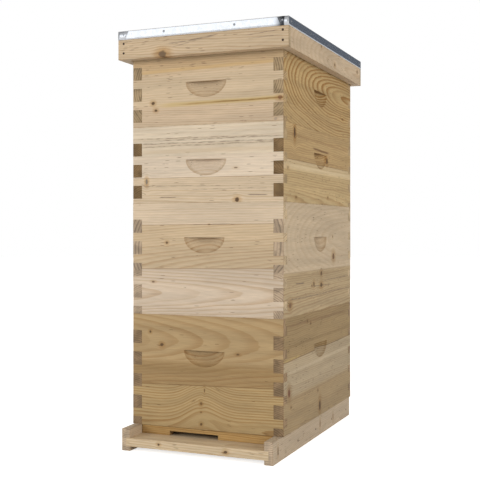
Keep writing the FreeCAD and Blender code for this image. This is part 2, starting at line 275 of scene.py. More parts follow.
class Grain(Effect):
    """Softwood inside: year rings round a tilted pith line, fibres, broad clouds and short dark flecks."""

    name = "wood grain"
    takes = {
        "Place": "NodeSocketVector",
        "Pith": "NodeSocketFloat",
        "Reach": "NodeSocketFloat",
        "Slope": "NodeSocketFloat",
        "Bow": "NodeSocketFloat",
        "Ring": "NodeSocketFloat",
        "Flecks": "NodeSocketFloat",
        "Seed": "NodeSocketFloat",
    }
    gives = {
        "Late": "NodeSocketFloat",
        "Fibre": "NodeSocketFloat",
        "Cloud": "NodeSocketFloat",
        "Fleck": "NodeSocketFloat",
    }

    def build(self, graph: Graph, inlets: Sockets, outlets: Sockets) -> None:
        """Rings are cylinders about the pith line, so a slanting line makes nested arcs on a face.

        Args:
            graph: The group's graph.
            inlets: What the group takes in.
            outlets: What it gives out.
        """
        place = inlets["Place"]
        feeds = {0: (91.7, 37.3, 53.9), "Scale": inlets["Seed"]}
        offset = graph.put("ShaderNodeVectorMath", feeds, operation="SCALE")
        spot = graph.vector("ADD", place, offset.outputs[0])
        broad = graph.maths("SUBTRACT", graph.noise(spot, (210.0, 46.0, 46.0), 1.0), 0.5)
        small = graph.maths("SUBTRACT", graph.noise(spot, (55.0, 9.0, 9.0), 2.0), 0.5)
        along, across, deep = graph.split(place)
        aside = graph.maths("SUBTRACT", across, inlets["Pith"])
        aside = graph.maths("MULTIPLY_ADD", broad, 16.0, aside)
        bend = graph.maths("MULTIPLY_ADD", along, inlets["Bow"], inlets["Slope"])
        reach = graph.maths("MULTIPLY_ADD", along, bend, inlets["Reach"])
        reach = graph.maths("SUBTRACT", reach, deep)
        squares = graph.maths("MULTIPLY_ADD", aside, aside, graph.maths("MULTIPLY", reach, reach))
        radius = graph.maths("SQRT", squares)
        radius = graph.maths("MULTIPLY_ADD", broad, 5.0, radius)
        radius = graph.maths("MULTIPLY_ADD", small, 2.0, radius)
        rings = graph.maths("DIVIDE", radius, inlets["Ring"])
        year = graph.maths("FLOOR", rings)
        season = graph.maths("FRACT", rings)
        strength = graph.put("ShaderNodeTexWhiteNoise", {"W": year}, noise_dimensions="1D").outputs[0]
        strength = graph.maths("MULTIPLY_ADD", strength, 0.65, 0.35)
        late = graph.maths("MULTIPLY", graph.rise(season, 0.3, 0.9), graph.rise(season, 0.93, 1.0, 1.0, 0.0))
        graph.feed(outlets["Late"], graph.maths("MULTIPLY", late, strength))
        graph.feed(outlets["Fibre"], graph.noise(spot, (34.0, 1.1, 1.1), 3.0))
        graph.feed(outlets["Cloud"], graph.noise(spot, (260.0, 21.0, 21.0), 2.0))
        dashes = graph.vector("DIVIDE", spot, (28.0, 2.2, 2.2))
        cells = graph.put("ShaderNodeTexVoronoi", {"Vector": dashes, "Scale": 1.0})
        chance = graph.put("ShaderNodeSeparateColor", {0: cells.outputs["Color"]}).outputs[0]
        drift = graph.rise(graph.noise(spot, (90.0, 34.0, 34.0), 1.0), 0.42, 0.66)
        picked = graph.maths("LESS_THAN", chance, graph.maths("MULTIPLY", inlets["Flecks"], drift))
        dash = graph.rise(cells.outputs["Distance"], 0.14, 0.28, 1.0, 0.0)
        graph.feed(outlets["Fleck"], graph.maths("MULTIPLY", dash, picked))


class KnotMark(Effect):
    """A knot: a dark heart, a stained halo, and the push it gives the rings around it."""

    name = "knot"
    takes = {
        "Place": "NodeSocketVector",
        "Along": "NodeSocketFloat",
        "Across": "NodeSocketFloat",
        "Length": "NodeSocketFloat",
        "Height": "NodeSocketFloat",
    }
    gives = {"Heart": "NodeSocketFloat", "Halo": "NodeSocketFloat", "Push": "NodeSocketFloat"}

    def build(self, graph: Graph, inlets: Sockets, outlets: Sockets) -> None:
        """An uneven ellipse, and a bell-shaped squeeze of the height about its middle.

        Args:
            graph: The group's graph.
            inlets: What the group takes in.
            outlets: What it gives out.
        """
        along, across, deep = graph.split(inlets["Place"])
        aside = graph.maths("SUBTRACT", across, inlets["Across"])
        near = graph.rise(deep, 15.0, 22.0, 1.0, 0.0)
        first = graph.maths("DIVIDE", graph.maths("SUBTRACT", along, inlets["Along"]), inlets["Length"])
        second = graph.maths("DIVIDE", aside, inlets["Height"])
        squares = graph.maths("MULTIPLY_ADD", first, first, graph.maths("MULTIPLY", second, second))
        uneven = graph.maths("SUBTRACT", graph.noise(inlets["Place"], (7.0, 4.0, 4.0), 2.0), 0.5)
        away = graph.maths("MULTIPLY_ADD", uneven, 0.9, graph.maths("SQRT", squares))
        graph.feed(outlets["Heart"], graph.maths("MULTIPLY", near, graph.rise(away, 0.6, 1.1, 1.0, 0.0)))
        graph.feed(outlets["Halo"], graph.maths("MULTIPLY", near, graph.rise(away, 0.7, 2.9, 1.0, 0.0)))
        bell = graph.maths("POWER", BELL_BASE, graph.maths("MULTIPLY", squares, -0.16))
        bell = graph.maths("MULTIPLY", near, bell)
        graph.feed(outlets["Push"], graph.maths("MULTIPLY", graph.maths("MULTIPLY", aside, -0.62), bell))


class StreakMark(Effect):
    """A stained or resinous streak, dashed and feathered, that runs with the grain."""

    name = "streak"
    takes = {
        "Place": "NodeSocketVector",
        "Start": "NodeSocketFloat",
        "End": "NodeSocketFloat",
        "Across": "NodeSocketFloat",
        "Drop": "NodeSocketFloat",
        "Width": "NodeSocketFloat",
        "Broken": "NodeSocketFloat",
    }
    gives = {"Mask": "NodeSocketFloat"}

    def build(self, graph: Graph, inlets: Sockets, outlets: Sockets) -> None:
        """A band about a slanting line, faded at both ends and broken by noise.

        Args:
            graph: The group's graph.
            inlets: What the group takes in.
            outlets: What it gives out.
        """
        along, across, _ = graph.split(inlets["Place"])
        run = graph.maths("SUBTRACT", inlets["End"], inlets["Start"])
        share = graph.maths("DIVIDE", graph.maths("SUBTRACT", along, inlets["Start"]), run)
        centre = graph.maths("MULTIPLY_ADD", share, inlets["Drop"], inlets["Across"])
        wander = graph.maths("SUBTRACT", graph.noise(inlets["Place"], (60.0, 30.0, 30.0), 2.0), 0.5)
        centre = graph.maths("MULTIPLY_ADD", wander, 3.0, centre)
        aside = graph.maths("ABSOLUTE", graph.maths("SUBTRACT", across, centre))
        aside = graph.maths("DIVIDE", aside, inlets["Width"])
        band = graph.rise(aside, 0.3, 1.0, 1.0, 0.0)
        ends = graph.rise(share, 0.86, 1.06, 1.0, 0.0)
        ends = graph.maths("MULTIPLY", graph.rise(share, -0.06, 0.14), ends)
        holes = graph.rise(graph.noise(inlets["Place"], (17.0, 2.4, 2.4), 2.0), 0.42, 0.6)
        holes = graph.mix(inlets["Broken"], 1.0, holes)
        graph.feed(outlets["Mask"], graph.maths("MULTIPLY", graph.maths("MULTIPLY", band, ends), holes))


class EdgeWear(Effect):
    """The worn arrises of a block: how near a point of its surface is to the next face."""

    name = "worn edges"
    takes = {
        "Place": "NodeSocketVector",
        "Low": "NodeSocketVector",
        "High": "NodeSocketVector",
        "Width": "NodeSocketFloat",
    }
    gives = {"Mask": "NodeSocketFloat"}

    def build(self, graph: Graph, inlets: Sockets, outlets: Sockets) -> None:
        """The middle one of the three distances to the block's sides is the distance to an edge.

        Args:
            graph: The group's graph.
            inlets: What the group takes in.
            outlets: What it gives out.
        """
        low = graph.vector("SUBTRACT", inlets["Place"], inlets["Low"])
        high = graph.vector("SUBTRACT", inlets["High"], inlets["Place"])
        x, y, z = graph.split(graph.vector("MINIMUM", low, high))
        least = graph.maths("MINIMUM", x, y)
        most = graph.maths("MAXIMUM", x, y)
        middle = graph.maths("MAXIMUM", least, graph.maths("MINIMUM", most, z))
        scaled = graph.put("ShaderNodeVectorMath", {0: inlets["Place"], "Scale": 1000.0}, operation="SCALE")
        uneven = graph.noise(scaled.outputs[0], (14.0, 14.0, 14.0), 3.0)
        width = graph.maths("MULTIPLY", inlets["Width"], graph.rise(uneven, 0.3, 0.7, 0.3, 1.7))
        graph.feed(outlets["Mask"], graph.rise(graph.maths("DIVIDE", middle, width), 0.2, 1.0, 1.0, 0.0))


class Spangle(Effect):
    """The crystal patches of galvanised sheet, with fine rubbing marks."""

    name = "spangle"
    takes = {"Place": "NodeSocketVector", "Patch": "NodeSocketFloat"}
    gives = {"Shade": "NodeSocketFloat", "Rub": "NodeSocketFloat"}

    def build(self, graph: Graph, inlets: Sockets, outlets: Sockets) -> None:
        """Uneven cells with a shade of their own, and a stretched noise for the rubbing.

        Args:
            graph: The group's graph.
            inlets: What the group takes in.
            outlets: What it gives out.
        """
        warp = graph.put("ShaderNodeTexNoise", {"Vector": inlets["Place"], "Scale": 60.0, "Detail": 2.0})
        bent = graph.vector("MULTIPLY_ADD", warp.outputs["Color"], (0.006, 0.006, 0.006), inlets["Place"])
        size = graph.maths("DIVIDE", 1.0, inlets["Patch"])
        cells = graph.put("ShaderNodeTexVoronoi", {"Vector": bent, "Scale": size})
        shade = graph.put("ShaderNodeSeparateColor", {0: cells.outputs["Color"]}).outputs[0]
        graph.feed(outlets["Shade"], shade)
        stretched = graph.vector("MULTIPLY", inlets["Place"], (40.0, 40.0, 900.0))
        graph.feed(outlets["Rub"], graph.lumps(stretched, 1.0, 4.0))


@dataclass
class Effects:
    """The shader groups that the finishes share."""

    grain: Grain = field(default_factory=Grain)
    knot: KnotMark = field(default_factory=KnotMark)
    streak: StreakMark = field(default_factory=StreakMark)
    wear: EdgeWear = field(default_factory=EdgeWear)
    spangle: Spangle = field(default_factory=Spangle)


# ---- how a timber lies ----
class Outlook(Enum):
    """Which way a timber lies: the axes and signs of its grain, its height and its thickness."""

    FRONT = ((0, 1), (2, -1), (1, 1))
    BACK = ((0, -1), (2, -1), (1, -1))
    RIGHT = ((1, 1), (2, -1), (0, -1))
    LEFT = ((1, -1), (2, -1), (0, 1))
    FLAT_ACROSS = ((0, 1), (1, 1), (2, -1))
    FLAT_LENGTHWISE = ((1, 1), (0, 1), (2, -1))


@dataclass(frozen=True)
class Lie:
    """A timber's own directions, and where they start.

    Attributes:
        low: The lowest corner of the timber.
        high: The highest corner.
        outlook: Which way it lies.
    """

    low: Vector
    high: Vector
    outlook: Outlook

    def start(self) -> list[float]:
        """Where each direction has its zero: the middle along the grain, and an outer face otherwise.

        Returns:
            The coordinates of the three zeros, along, across and deep.
        """
        along, across, deep = self.outlook.value
        middle = (self.low[along[0]] + self.high[along[0]]) / 2
        ends = [self.low[axis] if sign > 0 else self.high[axis] for axis, sign in (across, deep)]
        return [middle, *ends]

    def length(self) -> float:
        """The timber's length along its grain, in millimetres."""
        axis = self.outlook.value[0][0]
        return (self.high[axis] - self.low[axis]) / MM

    def place(self, graph: Graph, coordinates: Socket) -> Socket:
        """The point's place in the timber's own directions.

        Args:
            graph: The material's graph.
            coordinates: The object coordinates.

        Returns:
            A vector in millimetres: along, across and deep.
        """
        parts = graph.split(coordinates)
        turned = {}
        for index, ((axis, sign), start) in enumerate(zip(self.outlook.value, self.start())):
            turned[index] = graph.maths("MULTIPLY_ADD", parts[axis], sign / MM, -sign * start / MM)
        return graph.put("ShaderNodeCombineXYZ", turned).outputs[0]


@dataclass(frozen=True)
class FrameLie(Lie):
    """A movable frame's directions: lengthwise in its long bars and upright in its end bars.

    Attributes:
        bar_start: How far in from the lug's end the end bar begins, in millimetres.
        bar_end: How far in it finishes.
    """

    bar_start: float = 17.3
    bar_end: float = 27.1

    def place(self, graph: Graph, coordinates: Socket) -> Socket:
        """The point's place, turned upright inside the end bars.

        Args:
            graph: The material's graph.
            coordinates: The object coordinates.

        Returns:
            A vector in millimetres: along, across and deep.
        """
        lying = super().place(graph, coordinates)
        along, across, deep = graph.split(lying)
        inset = graph.maths("SUBTRACT", self.length() / 2, graph.maths("ABSOLUTE", along))
        inside = graph.maths("GREATER_THAN", inset, self.bar_start)
        inside = graph.maths("MULTIPLY", inside, graph.maths("LESS_THAN", inset, self.bar_end))
        upright = graph.put("ShaderNodeCombineXYZ", {0: deep, 1: across, 2: along}).outputs[0]
        feeds = {0: inside, 4: lying, 5: upright}
        return graph.put("ShaderNodeMix", feeds, data_type="VECTOR").outputs[1]


# ---- finishes ----
def new_material(name: str) -> tuple[bpy.types.Material, Graph, bpy.types.Node, Sockets]:
    """An empty material with its shader.

    Args:
        name: Its name.

    Returns:
        The material, its graph, its shader and the outputs that tell where a point is.
    """
    made = bpy.data.materials.new(name)
    made.use_nodes = True
    graph = Graph(made.node_tree)
    shader = made.node_tree.nodes["Principled BSDF"]
    return made, graph, shader, graph.put("ShaderNodeTexCoord").outputs


def darkened(graph: Graph, share: Feed, colour: Socket | Tone, stain: Tone) -> Socket:
    """A colour, partly multiplied by a stain.

    Args:
        graph: The material's graph.
        share: How much of the stain shows.
        colour: The colour.
        stain: What it is multiplied by.

    Returns:
        The stained colour.
    """
    return graph.tint(share, colour, graph.tint(1.0, colour, stain, "MULTIPLY"))


@dataclass(frozen=True)
class Plank:
    """One strip of the boards that are glued up edge to edge.

    Attributes:
        top: The depth of its upper edge at the board's left end.
        tone: Its colour between the year rings.
        pith: The depth of the line its rings circle.
        reach: How far behind the face that line is at the board's middle.
        slope: How fast that distance grows along the board.
        ring: The width of a year ring.
        contrast: How dark the late wood is, 0 to 1.
        drop: How much deeper the upper edge is at the right end.
        soft: How gradually the strip begins; a glue line is sharp.
        line: How dark the glue line is, 0 to 1.
        bow: How fast the pith line curves away from the face, per millimetre.
    """

    top: float
    tone: Tone
    pith: float
    reach: float
    slope: float = 0.0
    ring: float = 3.2
    contrast: float = 0.5
    drop: float = 0.0
    soft: float = 0.3
    line: float = 0.4
    bow: float = 0.0


@dataclass(frozen=True)
class Knot:
    """A knot.

    Attributes:
        along: Where its middle is along the board.
        across: How deep its middle is.
        length: Its half length.
        height: Its half height.
        dark: How dark its heart is, 0 to 1.
        halo: How strong the stain round it is, 0 to 1.
        tone: The heart's colour.
    """

    along: float
    across: float
    length: float
    height: float
    dark: float = 0.8
    halo: float = 0.35
    tone: Tone = (0.085, 0.045, 0.022)

    def feeds(self, place: Socket) -> dict[str, Feed]:
        """What goes into the knot's shader group."""
        sizes = {"Along": self.along, "Across": self.across, "Length": self.length, "Height": self.height}
        return {"Place": place, **sizes}


@dataclass(frozen=True)
class Swell:
    """A place where the rings hump up.

    Attributes:
        along: Where its middle is along the board.
        width: Its half width.
        height: How far the rings are pushed; a negative height is a dip.
        below: The depth where it begins.
    """

    along: float
    width: float
    height: float
    below: float

    def raised(self, graph: Graph, along: Socket, across: Socket, push: Feed) -> Socket:
        """The rings' push with this swell added to it.

        Args:
            graph: The material's graph.
            along: The point's place along the board.
            across: The point's depth.
            push: The push so far.

        Returns:
            The new push, in millimetres.
        """
        away = graph.maths("DIVIDE", graph.maths("SUBTRACT", along, self.along), self.width)
        squares = graph.maths("MULTIPLY", away, away)
        bell = graph.maths("POWER", BELL_BASE, graph.maths("MULTIPLY", squares, -1.0))
        bell = graph.maths("MULTIPLY", bell, graph.rise(across, self.below - 1.0, self.below + 1.0))
        return graph.maths("MULTIPLY_ADD", bell, self.height, push)


@dataclass(frozen=True)
class Streak:
    """A streak that runs with the grain.

    Attributes:
        start: Where its left end is along the board.
        end: Where its right end is.
        across: How deep it is at the start.
        drop: How much deeper it is at the end.
        width: Its half width.
        tone: Its colour.
        strength: How much of its colour shows, 0 to 1.
        broken: How dashed it is, 0 to 1.
    """

    start: float
    end: float
    across: float
    drop: float
    width: float
    tone: Tone
    strength: float = 0.6
    broken: float = 0.5

    def feeds(self, place: Socket) -> dict[str, Feed]:
        """What goes into the streak's shader group.

        Args:
            place: The point in the timber.

        Returns:
            The group's inputs by name.
        """
        return {
            "Place": place,
            "Start": self.start,
            "End": self.end,
            "Across": self.across,
            "Drop": self.drop,
            "Width": self.width,
            "Broken": self.broken,
        }


@dataclass(frozen=True)
class WoodFinish:
    """Bare planed softwood.

    Attributes:
        name: The material's name.
        planks: The strips, from the top down.
        end_tone: The colour of the sawn ends.
        knots: The knots.
        streaks: The streaks.
        swells: Where the rings hump up.
        flecks: How many short dark flecks there are, 0 to 1.
        seed: Which piece of the noise this timber is cut from.
    """

    name: str
    planks: tuple[Plank, ...]
    end_tone: Tone
    knots: tuple[Knot, ...] = ()
    streaks: tuple[Streak, ...] = ()
    swells: tuple[Swell, ...] = ()
    flecks: float = 0.25
    seed: float = 1.0

    def shared(self, graph: Graph, masks: list[Socket], values: list) -> Socket | float:
        """The number of whichever plank a point is in.

        Args:
            graph: The material's graph.
            masks: Where each plank after the first begins.
            values: The number of each plank.

        Returns:
            The number, or the socket that gives it.
        """
        result = values[0]
        for mask, value in zip(masks, values[1:]):
            result = graph.mix(mask, result, value)
        return result

    def marked(self, graph: Graph, effects: Effects, place: Socket, colour: Socket, marks: list) -> Socket:
        """The streaks and then the knots, laid over a colour.

        Args:
            graph: The material's graph.
            effects: The shared groups.
            place: The point in the timber.
            colour: The wood's colour.
            marks: Each knot's outputs.

        Returns:
            The marked colour.
        """
        for streak in self.streaks:
            mask = effects.streak.place(graph, streak.feeds(place))["Mask"]
            colour = graph.tint(graph.maths("MULTIPLY", mask, streak.strength), colour, streak.tone)
        for knot, mark in zip(self.knots, marks):
            colour = darkened(graph, graph.maths("MULTIPLY", mark["Halo"], knot.halo), colour, HALO_STAIN)
            colour = graph.tint(graph.maths("MULTIPLY", mark["Heart"], knot.dark), colour, knot.tone)
        return colour

    def pushed(self, graph: Graph, place: Socket, marks: list[Sockets]) -> Socket:
        """The point, moved by what the knots and swells do to the rings.

        Args:
            graph: The material's graph.
            place: The point in the timber.
            marks: Each knot's outputs.

        Returns:
            The place where the rings are read.
        """
        push = 0.0
        for mark in marks:
            push = graph.maths("ADD", mark["Push"], push)
        along, across, _ = graph.split(place)
        for swell in self.swells:
            push = swell.raised(graph, along, across, push)
        moved = graph.put("ShaderNodeCombineXYZ", {1: push}).outputs[0]
        return graph.vector("ADD", place, moved)

    def ring_feeds(self, graph: Graph, place: Socket, masks: list[Socket]) -> dict[str, Feed]:
        """What goes into the grain's shader group.

        Args:
            graph: The material's graph.
            place: The place where the rings are read.
            masks: Where each plank after the first begins.

        Returns:
            The group's inputs by name.
        """
        feeds = {"Place": place, "Flecks": self.flecks, "Seed": self.seed}
        for size in ("pith", "reach", "slope", "bow", "ring"):
            values = [getattr(plank, size) for plank in self.planks]
            feeds[size.capitalize()] = self.shared(graph, masks, values)
        return feeds

    def planed(
        self, graph: Graph, grain: Sockets, masks: list[Socket], late: Socket, scoop_shade: Socket
    ) -> Socket:
        """The colour of the planed faces, before any knot or streak.

        Args:
            graph: The material's graph.
            grain: The grain's outputs.
            masks: Where each plank after the first begins.
            late: How dark the late wood is.
            scoop_shade: How much painted shade the point gets inside a handhold.

        Returns:
            The colour.
        """
        colour = self.planks[0].tone
        for mask, plank in zip(masks, self.planks[1:]):
            colour = graph.tint(mask, colour, plank.tone)
        colour = darkened(graph, late, colour, LATE_STAIN)
        # Painted shade inside each handhold, darkest under its lip.
        colour = darkened(graph, scoop_shade, colour, SCOOP_SHADE_TINT)
        colour = graph.shade(colour, grain["Cloud"], 0.28, 0.72, 0.9, 1.08)
        colour = graph.shade(colour, grain["Fibre"], 0.32, 0.68, 0.9, 1.06)
        return darkened(graph, graph.maths("MULTIPLY", grain["Fleck"], 0.85), colour, FLECK_STAIN)

    def end_grain(self, graph: Graph, grain: Sockets) -> Socket:
        """The colour of the sawn ends.

        Args:
            graph: The material's graph.
            grain: The grain's outputs.

        Returns:
            The colour.
        """
        colour = graph.shade(self.end_tone, grain["Late"], 0.0, 0.8, 1.1, 0.66)
        colour = graph.shade(colour, grain["Fibre"], 0.25, 0.75, 0.84, 1.12)
        return graph.shade(colour, grain["Cloud"], 0.36, 0.64, 0.8, 1.14)

    def material(self, effects: Effects, lie: Lie) -> bpy.types.Material:
        """The wood of one timber.

        Args:
            effects: The shared groups.
            lie: Which way the timber lies.

        Returns:
            The material.
        """
        made, graph, shader, source = new_material(self.name)
        place = lie.place(graph, source["Object"])
        marks = [effects.knot.place(graph, knot.feeds(place)) for knot in self.knots]
        warped = self.pushed(graph, place, marks)
        masks, line = self.seams(graph, place, lie.length())
        grain = effects.grain.place(graph, self.ring_feeds(graph, warped, masks))
        facing = graph.split(source["Normal"])
        # Painted shade inside the handholds, which also strengthens the rings in the cut.
        scoop_shade = self.painted_scoop_shade(graph, place, facing, lie)
        contrast = self.shared(graph, masks, [plank.contrast for plank in self.planks])
        late = graph.maths("MULTIPLY", grain["Late"], contrast)
        late = graph.maths("MULTIPLY", late, graph.maths("MULTIPLY_ADD", scoop_shade, 1.2, 1.0))
        colour = self.planed(graph, grain, masks, late, scoop_shade)
        colour = self.marked(graph, effects, place, colour, marks)
        colour = darkened(graph, line, colour, LINE_STAIN)
        sawn = graph.rise(graph.maths("ABSOLUTE", facing[lie.outlook.value[0][0]]), 0.6, 0.85)
        colour = graph.tint(sawn, colour, self.end_grain(graph, grain))
        feeds = {"Place": source["Object"], "Low": lie.low, "High": lie.high, "Width": WORN_WIDTH}
        worn = effects.wear.place(graph, feeds)["Mask"]
        colour = darkened(graph, graph.maths("MULTIPLY", worn, 0.5), colour, WORN_STAIN)
        graph.feed(shader.inputs["Base Color"], colour)
        rough = graph.mix(grain["Late"], 0.62, 0.5)
        graph.feed(shader.inputs["Roughness"], graph.mix(sawn, rough, 0.8))
        shader.inputs["Specular IOR Level"].default_value = 0.3
        height = graph.maths("MULTIPLY_ADD", grain["Fibre"], 0.7, graph.maths("MULTIPLY", late, 0.5))
        height = graph.maths("MULTIPLY_ADD", line, -1.5, height)
        graph.bump(shader, height, 0.5, 0.0003)
        return made

    def painted_scoop_shade(self, graph: Graph, place: Socket, facing: tuple, lie: Lie) -> Socket:
        """Painted shade inside a handhold: most under its lip and along its lower rim.

        Args:
            graph: The material's graph.
            place: The point in the timber.
            facing: The parts of its normal.
            lie: Which way the timber lies.

        Returns:
            A mask of painted shade from 0 outside the handhold to 1.
        """
        (_, _), (axis, sign), (outer, inwards) = lie.outlook.value
        _, across, deep = graph.split(place)
        outwards = graph.maths("MULTIPLY", facing[outer], float(-inwards))
        inside = graph.maths("MULTIPLY", graph.rise(deep, 0.15, 0.4), graph.rise(outwards, 0.25, 0.45))
        inside = graph.maths("MULTIPLY", inside, graph.rise(deep, 1.0, 5.5, 0.62, 0.24))
        lip = graph.rise(graph.maths("MULTIPLY", facing[axis], float(sign)), 0.6, 0.9)
        edge = (lie.high[axis] - lie.low[axis]) / MM
        lip = graph.maths("MULTIPLY", lip, graph.rise(across, edge - 9.0, edge - 6.0, 1.0, 0.0))
        lip = graph.maths("MULTIPLY", lip, graph.rise(deep, 0.2, 0.6))
        return graph.maths("MAXIMUM", inside, lip)

    def joint_glue_and_shade(self) -> bpy.types.Material:
        """The dark, uneven line round a finger's end: glue and dust, with painted shade for the joint's gap.

        Returns:
            The material.
        """
        made, graph, shader, source = new_material(self.name + "_joint")
        gaps = graph.lumps(source["Object"], 90.0, 2.0)
        dark = tuple(part * 0.3 for part in self.end_tone)
        colour = graph.tint(graph.rise(gaps, 0.35, 0.65), dark, self.end_tone)
        graph.feed(shader.inputs["Base Color"], colour)
        graph.feed(shader.inputs["Roughness"], graph.rise(gaps, 0.3, 0.7, 0.6, 0.9))
        return made

    def seams(self, graph: Graph, place: Socket, length: float) -> tuple[list[Socket], Feed]:
        """Where each plank after the first begins, and the glue lines between them.

        Args:
            graph: The material's graph.
            place: The point in the timber.
            length: The timber's length, in millimetres.

        Returns:
            A mask for each later plank, and the mask of the glue lines.
        """
        along, across, _ = graph.split(place)
        masks = []
        line = 0.0
        for plank in self.planks[1:]:
            level = plank.top + plank.drop / 2
            seam = graph.maths("MULTIPLY_ADD", along, plank.drop / length, level)
            beyond = graph.maths("SUBTRACT", across, seam)
            masks.append(graph.rise(beyond, -plank.soft, plank.soft))
            near = graph.rise(graph.maths("ABSOLUTE", beyond), 0.3, 1.1, plank.line, 0.0)
            line = graph.maths("MAXIMUM", near, line)
        return masks, line


@dataclass(frozen=True)
class SheetFinish:
    """Bright galvanised sheet.

    Attributes:
        name: The material's name.
        bright: The colour of the brightest patches.
        dull: The colour of the dullest.
        dark_reflection: The colour of the painted dark reflection by the front's right corner.
        patch: The size of a crystal patch, in metres.
    """

    name: str = "galvanised_sheet"
    bright: Tone = (0.84, 0.86, 0.89)
    dull: Tone = (0.775, 0.8, 0.84)
    dark_reflection: Tone = (0.07, 0.075, 0.085)
    patch: float = 0.006

    def material(self, effects: Effects, low: Vector, high: Vector) -> bpy.types.Material:
        """The sheet's material: crystal patches, a slight waviness and a painted dark reflection.

        Args:
            effects: The shared groups.
            low: The sheet's lowest corner.
            high: Its highest corner.

        Returns:
            The material.
        """
        made, graph, shader, source = new_material(self.name)
        crystal = effects.spangle.place(graph, {"Place": source["Object"], "Patch": self.patch})
        wave = graph.lumps(source["Object"], 14.0, 1.0)
        colour = graph.tint(graph.rise(crystal["Shade"], 0.0, 1.0), self.bright, self.dull)
        # Painted reflection: a dark patch on the front skirt by its right corner.
        x, y, _ = graph.split(source["Object"])
        wander = graph.maths("MULTIPLY_ADD", wave, 0.03, x)
        ended = graph.rise(wander, high.x + 0.008, high.x + 0.011, 1.0, 0.0)
        reflection_mask = graph.maths("MULTIPLY", graph.rise(wander, high.x - 0.022, high.x + 0.005), ended)
        reflection_mask = graph.maths("MULTIPLY", reflection_mask, graph.rise(y, low.y + 0.002, low.y + 0.004, 1.0, 0.0))
        colour = graph.tint(reflection_mask, colour, self.dark_reflection)
        graph.feed(shader.inputs["Base Color"], colour)
        rough = graph.mix(crystal["Shade"], 0.21, 0.24)
        graph.feed(shader.inputs["Roughness"], graph.maths("MULTIPLY_ADD", crystal["Rub"], 0.05, rough))
        height = graph.maths("MULTIPLY_ADD", wave, 8.0, graph.maths("MULTIPLY", crystal["Rub"], 0.3))
        graph.bump(shader, height, 0.16, 0.0004)
        shader.inputs["Metallic"].default_value = 1.0
        return made


@dataclass(frozen=True)
class NailFinish:
    """Dull nail steel with brown spots.

    Attributes:
        name: The material's name.
        steel: The clean colour.
        rust: The colour of the spots.
        rusted: How much is spotted, 0 to 1.
    """

    name: str
    steel: Tone = (0.36, 0.37, 0.39)
    rust: Tone = (0.14, 0.075, 0.04)
    rusted: float = 0.4

    def material(self) -> bpy.types.Material:
        """The nails' material.

        Returns:
            The material.
        """
        made, graph, shader, source = new_material(self.name)
        spots = graph.lumps(source["Object"], 700.0, 3.0)
        mask = graph.rise(spots, 0.75 - self.rusted / 2, 0.9 - self.rusted / 2)
        graph.feed(shader.inputs["Base Color"], graph.tint(mask, self.steel, self.rust))
        graph.feed(shader.inputs["Roughness"], graph.mix(mask, 0.34, 0.75))
        graph.feed(shader.inputs["Metallic"], graph.mix(mask, 1.0, 0.1))
        graph.bump(shader, spots, 0.4, 0.0002)
        return made


@dataclass(frozen=True)
class WaxFinish:
    """Embossed beeswax foundation.

    Attributes:
        name: The material's name.
        wax: The colour of the walls between the cells.
        floor: The colour of the cells' floors.
        cell: The width of a cell, in millimetres.
    """

    name: str = "wax"
    wax: Tone = (0.78, 0.5, 0.14)
    floor: Tone = (0.62, 0.36, 0.08)
    cell: float = 5.4

    def material(self) -> bpy.types.Material:
        """The wax, with six-sided cells laid out in rows that are half a cell apart.

        Returns:
            The material.
        """
        made, graph, shader, source = new_material(self.name)
        _, length, height = graph.split(source["Object"])
        across = graph.maths("DIVIDE", length, self.cell * MM)
        up = graph.maths("DIVIDE", height, self.cell * MM)
        walls = []
        for angle in (0.0, math.tau / 6, math.tau / 3):
            turned = graph.maths("MULTIPLY", across, math.cos(angle))
            turned = graph.maths("MULTIPLY_ADD", up, math.sin(angle), turned)
            walls.append(graph.maths("COSINE", graph.maths("MULTIPLY", turned, math.tau)))
        total = graph.maths("ADD", graph.maths("ADD", walls[0], walls[1]), walls[2])
        wall = graph.rise(total, -0.9, 0.6, 1.0, 0.0)
        patches = graph.lumps(source["Object"], 18.0, 3.0)
        colour = graph.shade(graph.tint(wall, self.floor, self.wax), patches, 0.3, 0.7, 0.8, 1.1)
        graph.feed(shader.inputs["Base Color"], colour)
        graph.feed(shader.inputs["Roughness"], graph.mix(wall, 0.5, 0.38))
        graph.bump(shader, wall, 0.8, 0.0006)
        return made


# ---- making pieces ----
def bodies_by_node() -> dict[str, str]:
    """The body that each CAD node rides on."""
    groups = frame["record"]["behaviour"]["bodies"]
    return {node: body for body, nodes in groups.items() for node in nodes}


def merged_copy(node: str) -> bmesh.types.BMesh:
    """A joined-up copy of a CAD node, with its flat faces whole.

    Args:
        node: The node's name.

    Returns:
        The copy, to be freed by whoever asked for it.
    """
    mesh = bmesh.new()
    mesh.from_mesh(frame["nodes"][node].data)
    bmesh.ops.remove_doubles(mesh, verts=mesh.verts, dist=MERGE_GAP)
    bmesh.ops.dissolve_limit(mesh, angle_limit=math.radians(FLAT_ANGLE), verts=mesh.verts, edges=mesh.edges)
    return mesh


def as_object(mesh: bmesh.types.BMesh, name: str, material: bpy.types.Material) -> bpy.types.Object:
    """Turns finished mesh code into an object in the scene.

    Args:
        mesh: The mesh, which is freed.
        name: The piece's name.
        material: Its material.

    Returns:
        The object.
    """
    data = bpy.data.meshes.new(name)
    mesh.to_mesh(data)
    mesh.free()
    data.materials.clear()
    data.materials.append(material)
    made = bpy.data.objects.new(name, data)
    bpy.context.scene.collection.objects.link(made)
    return made


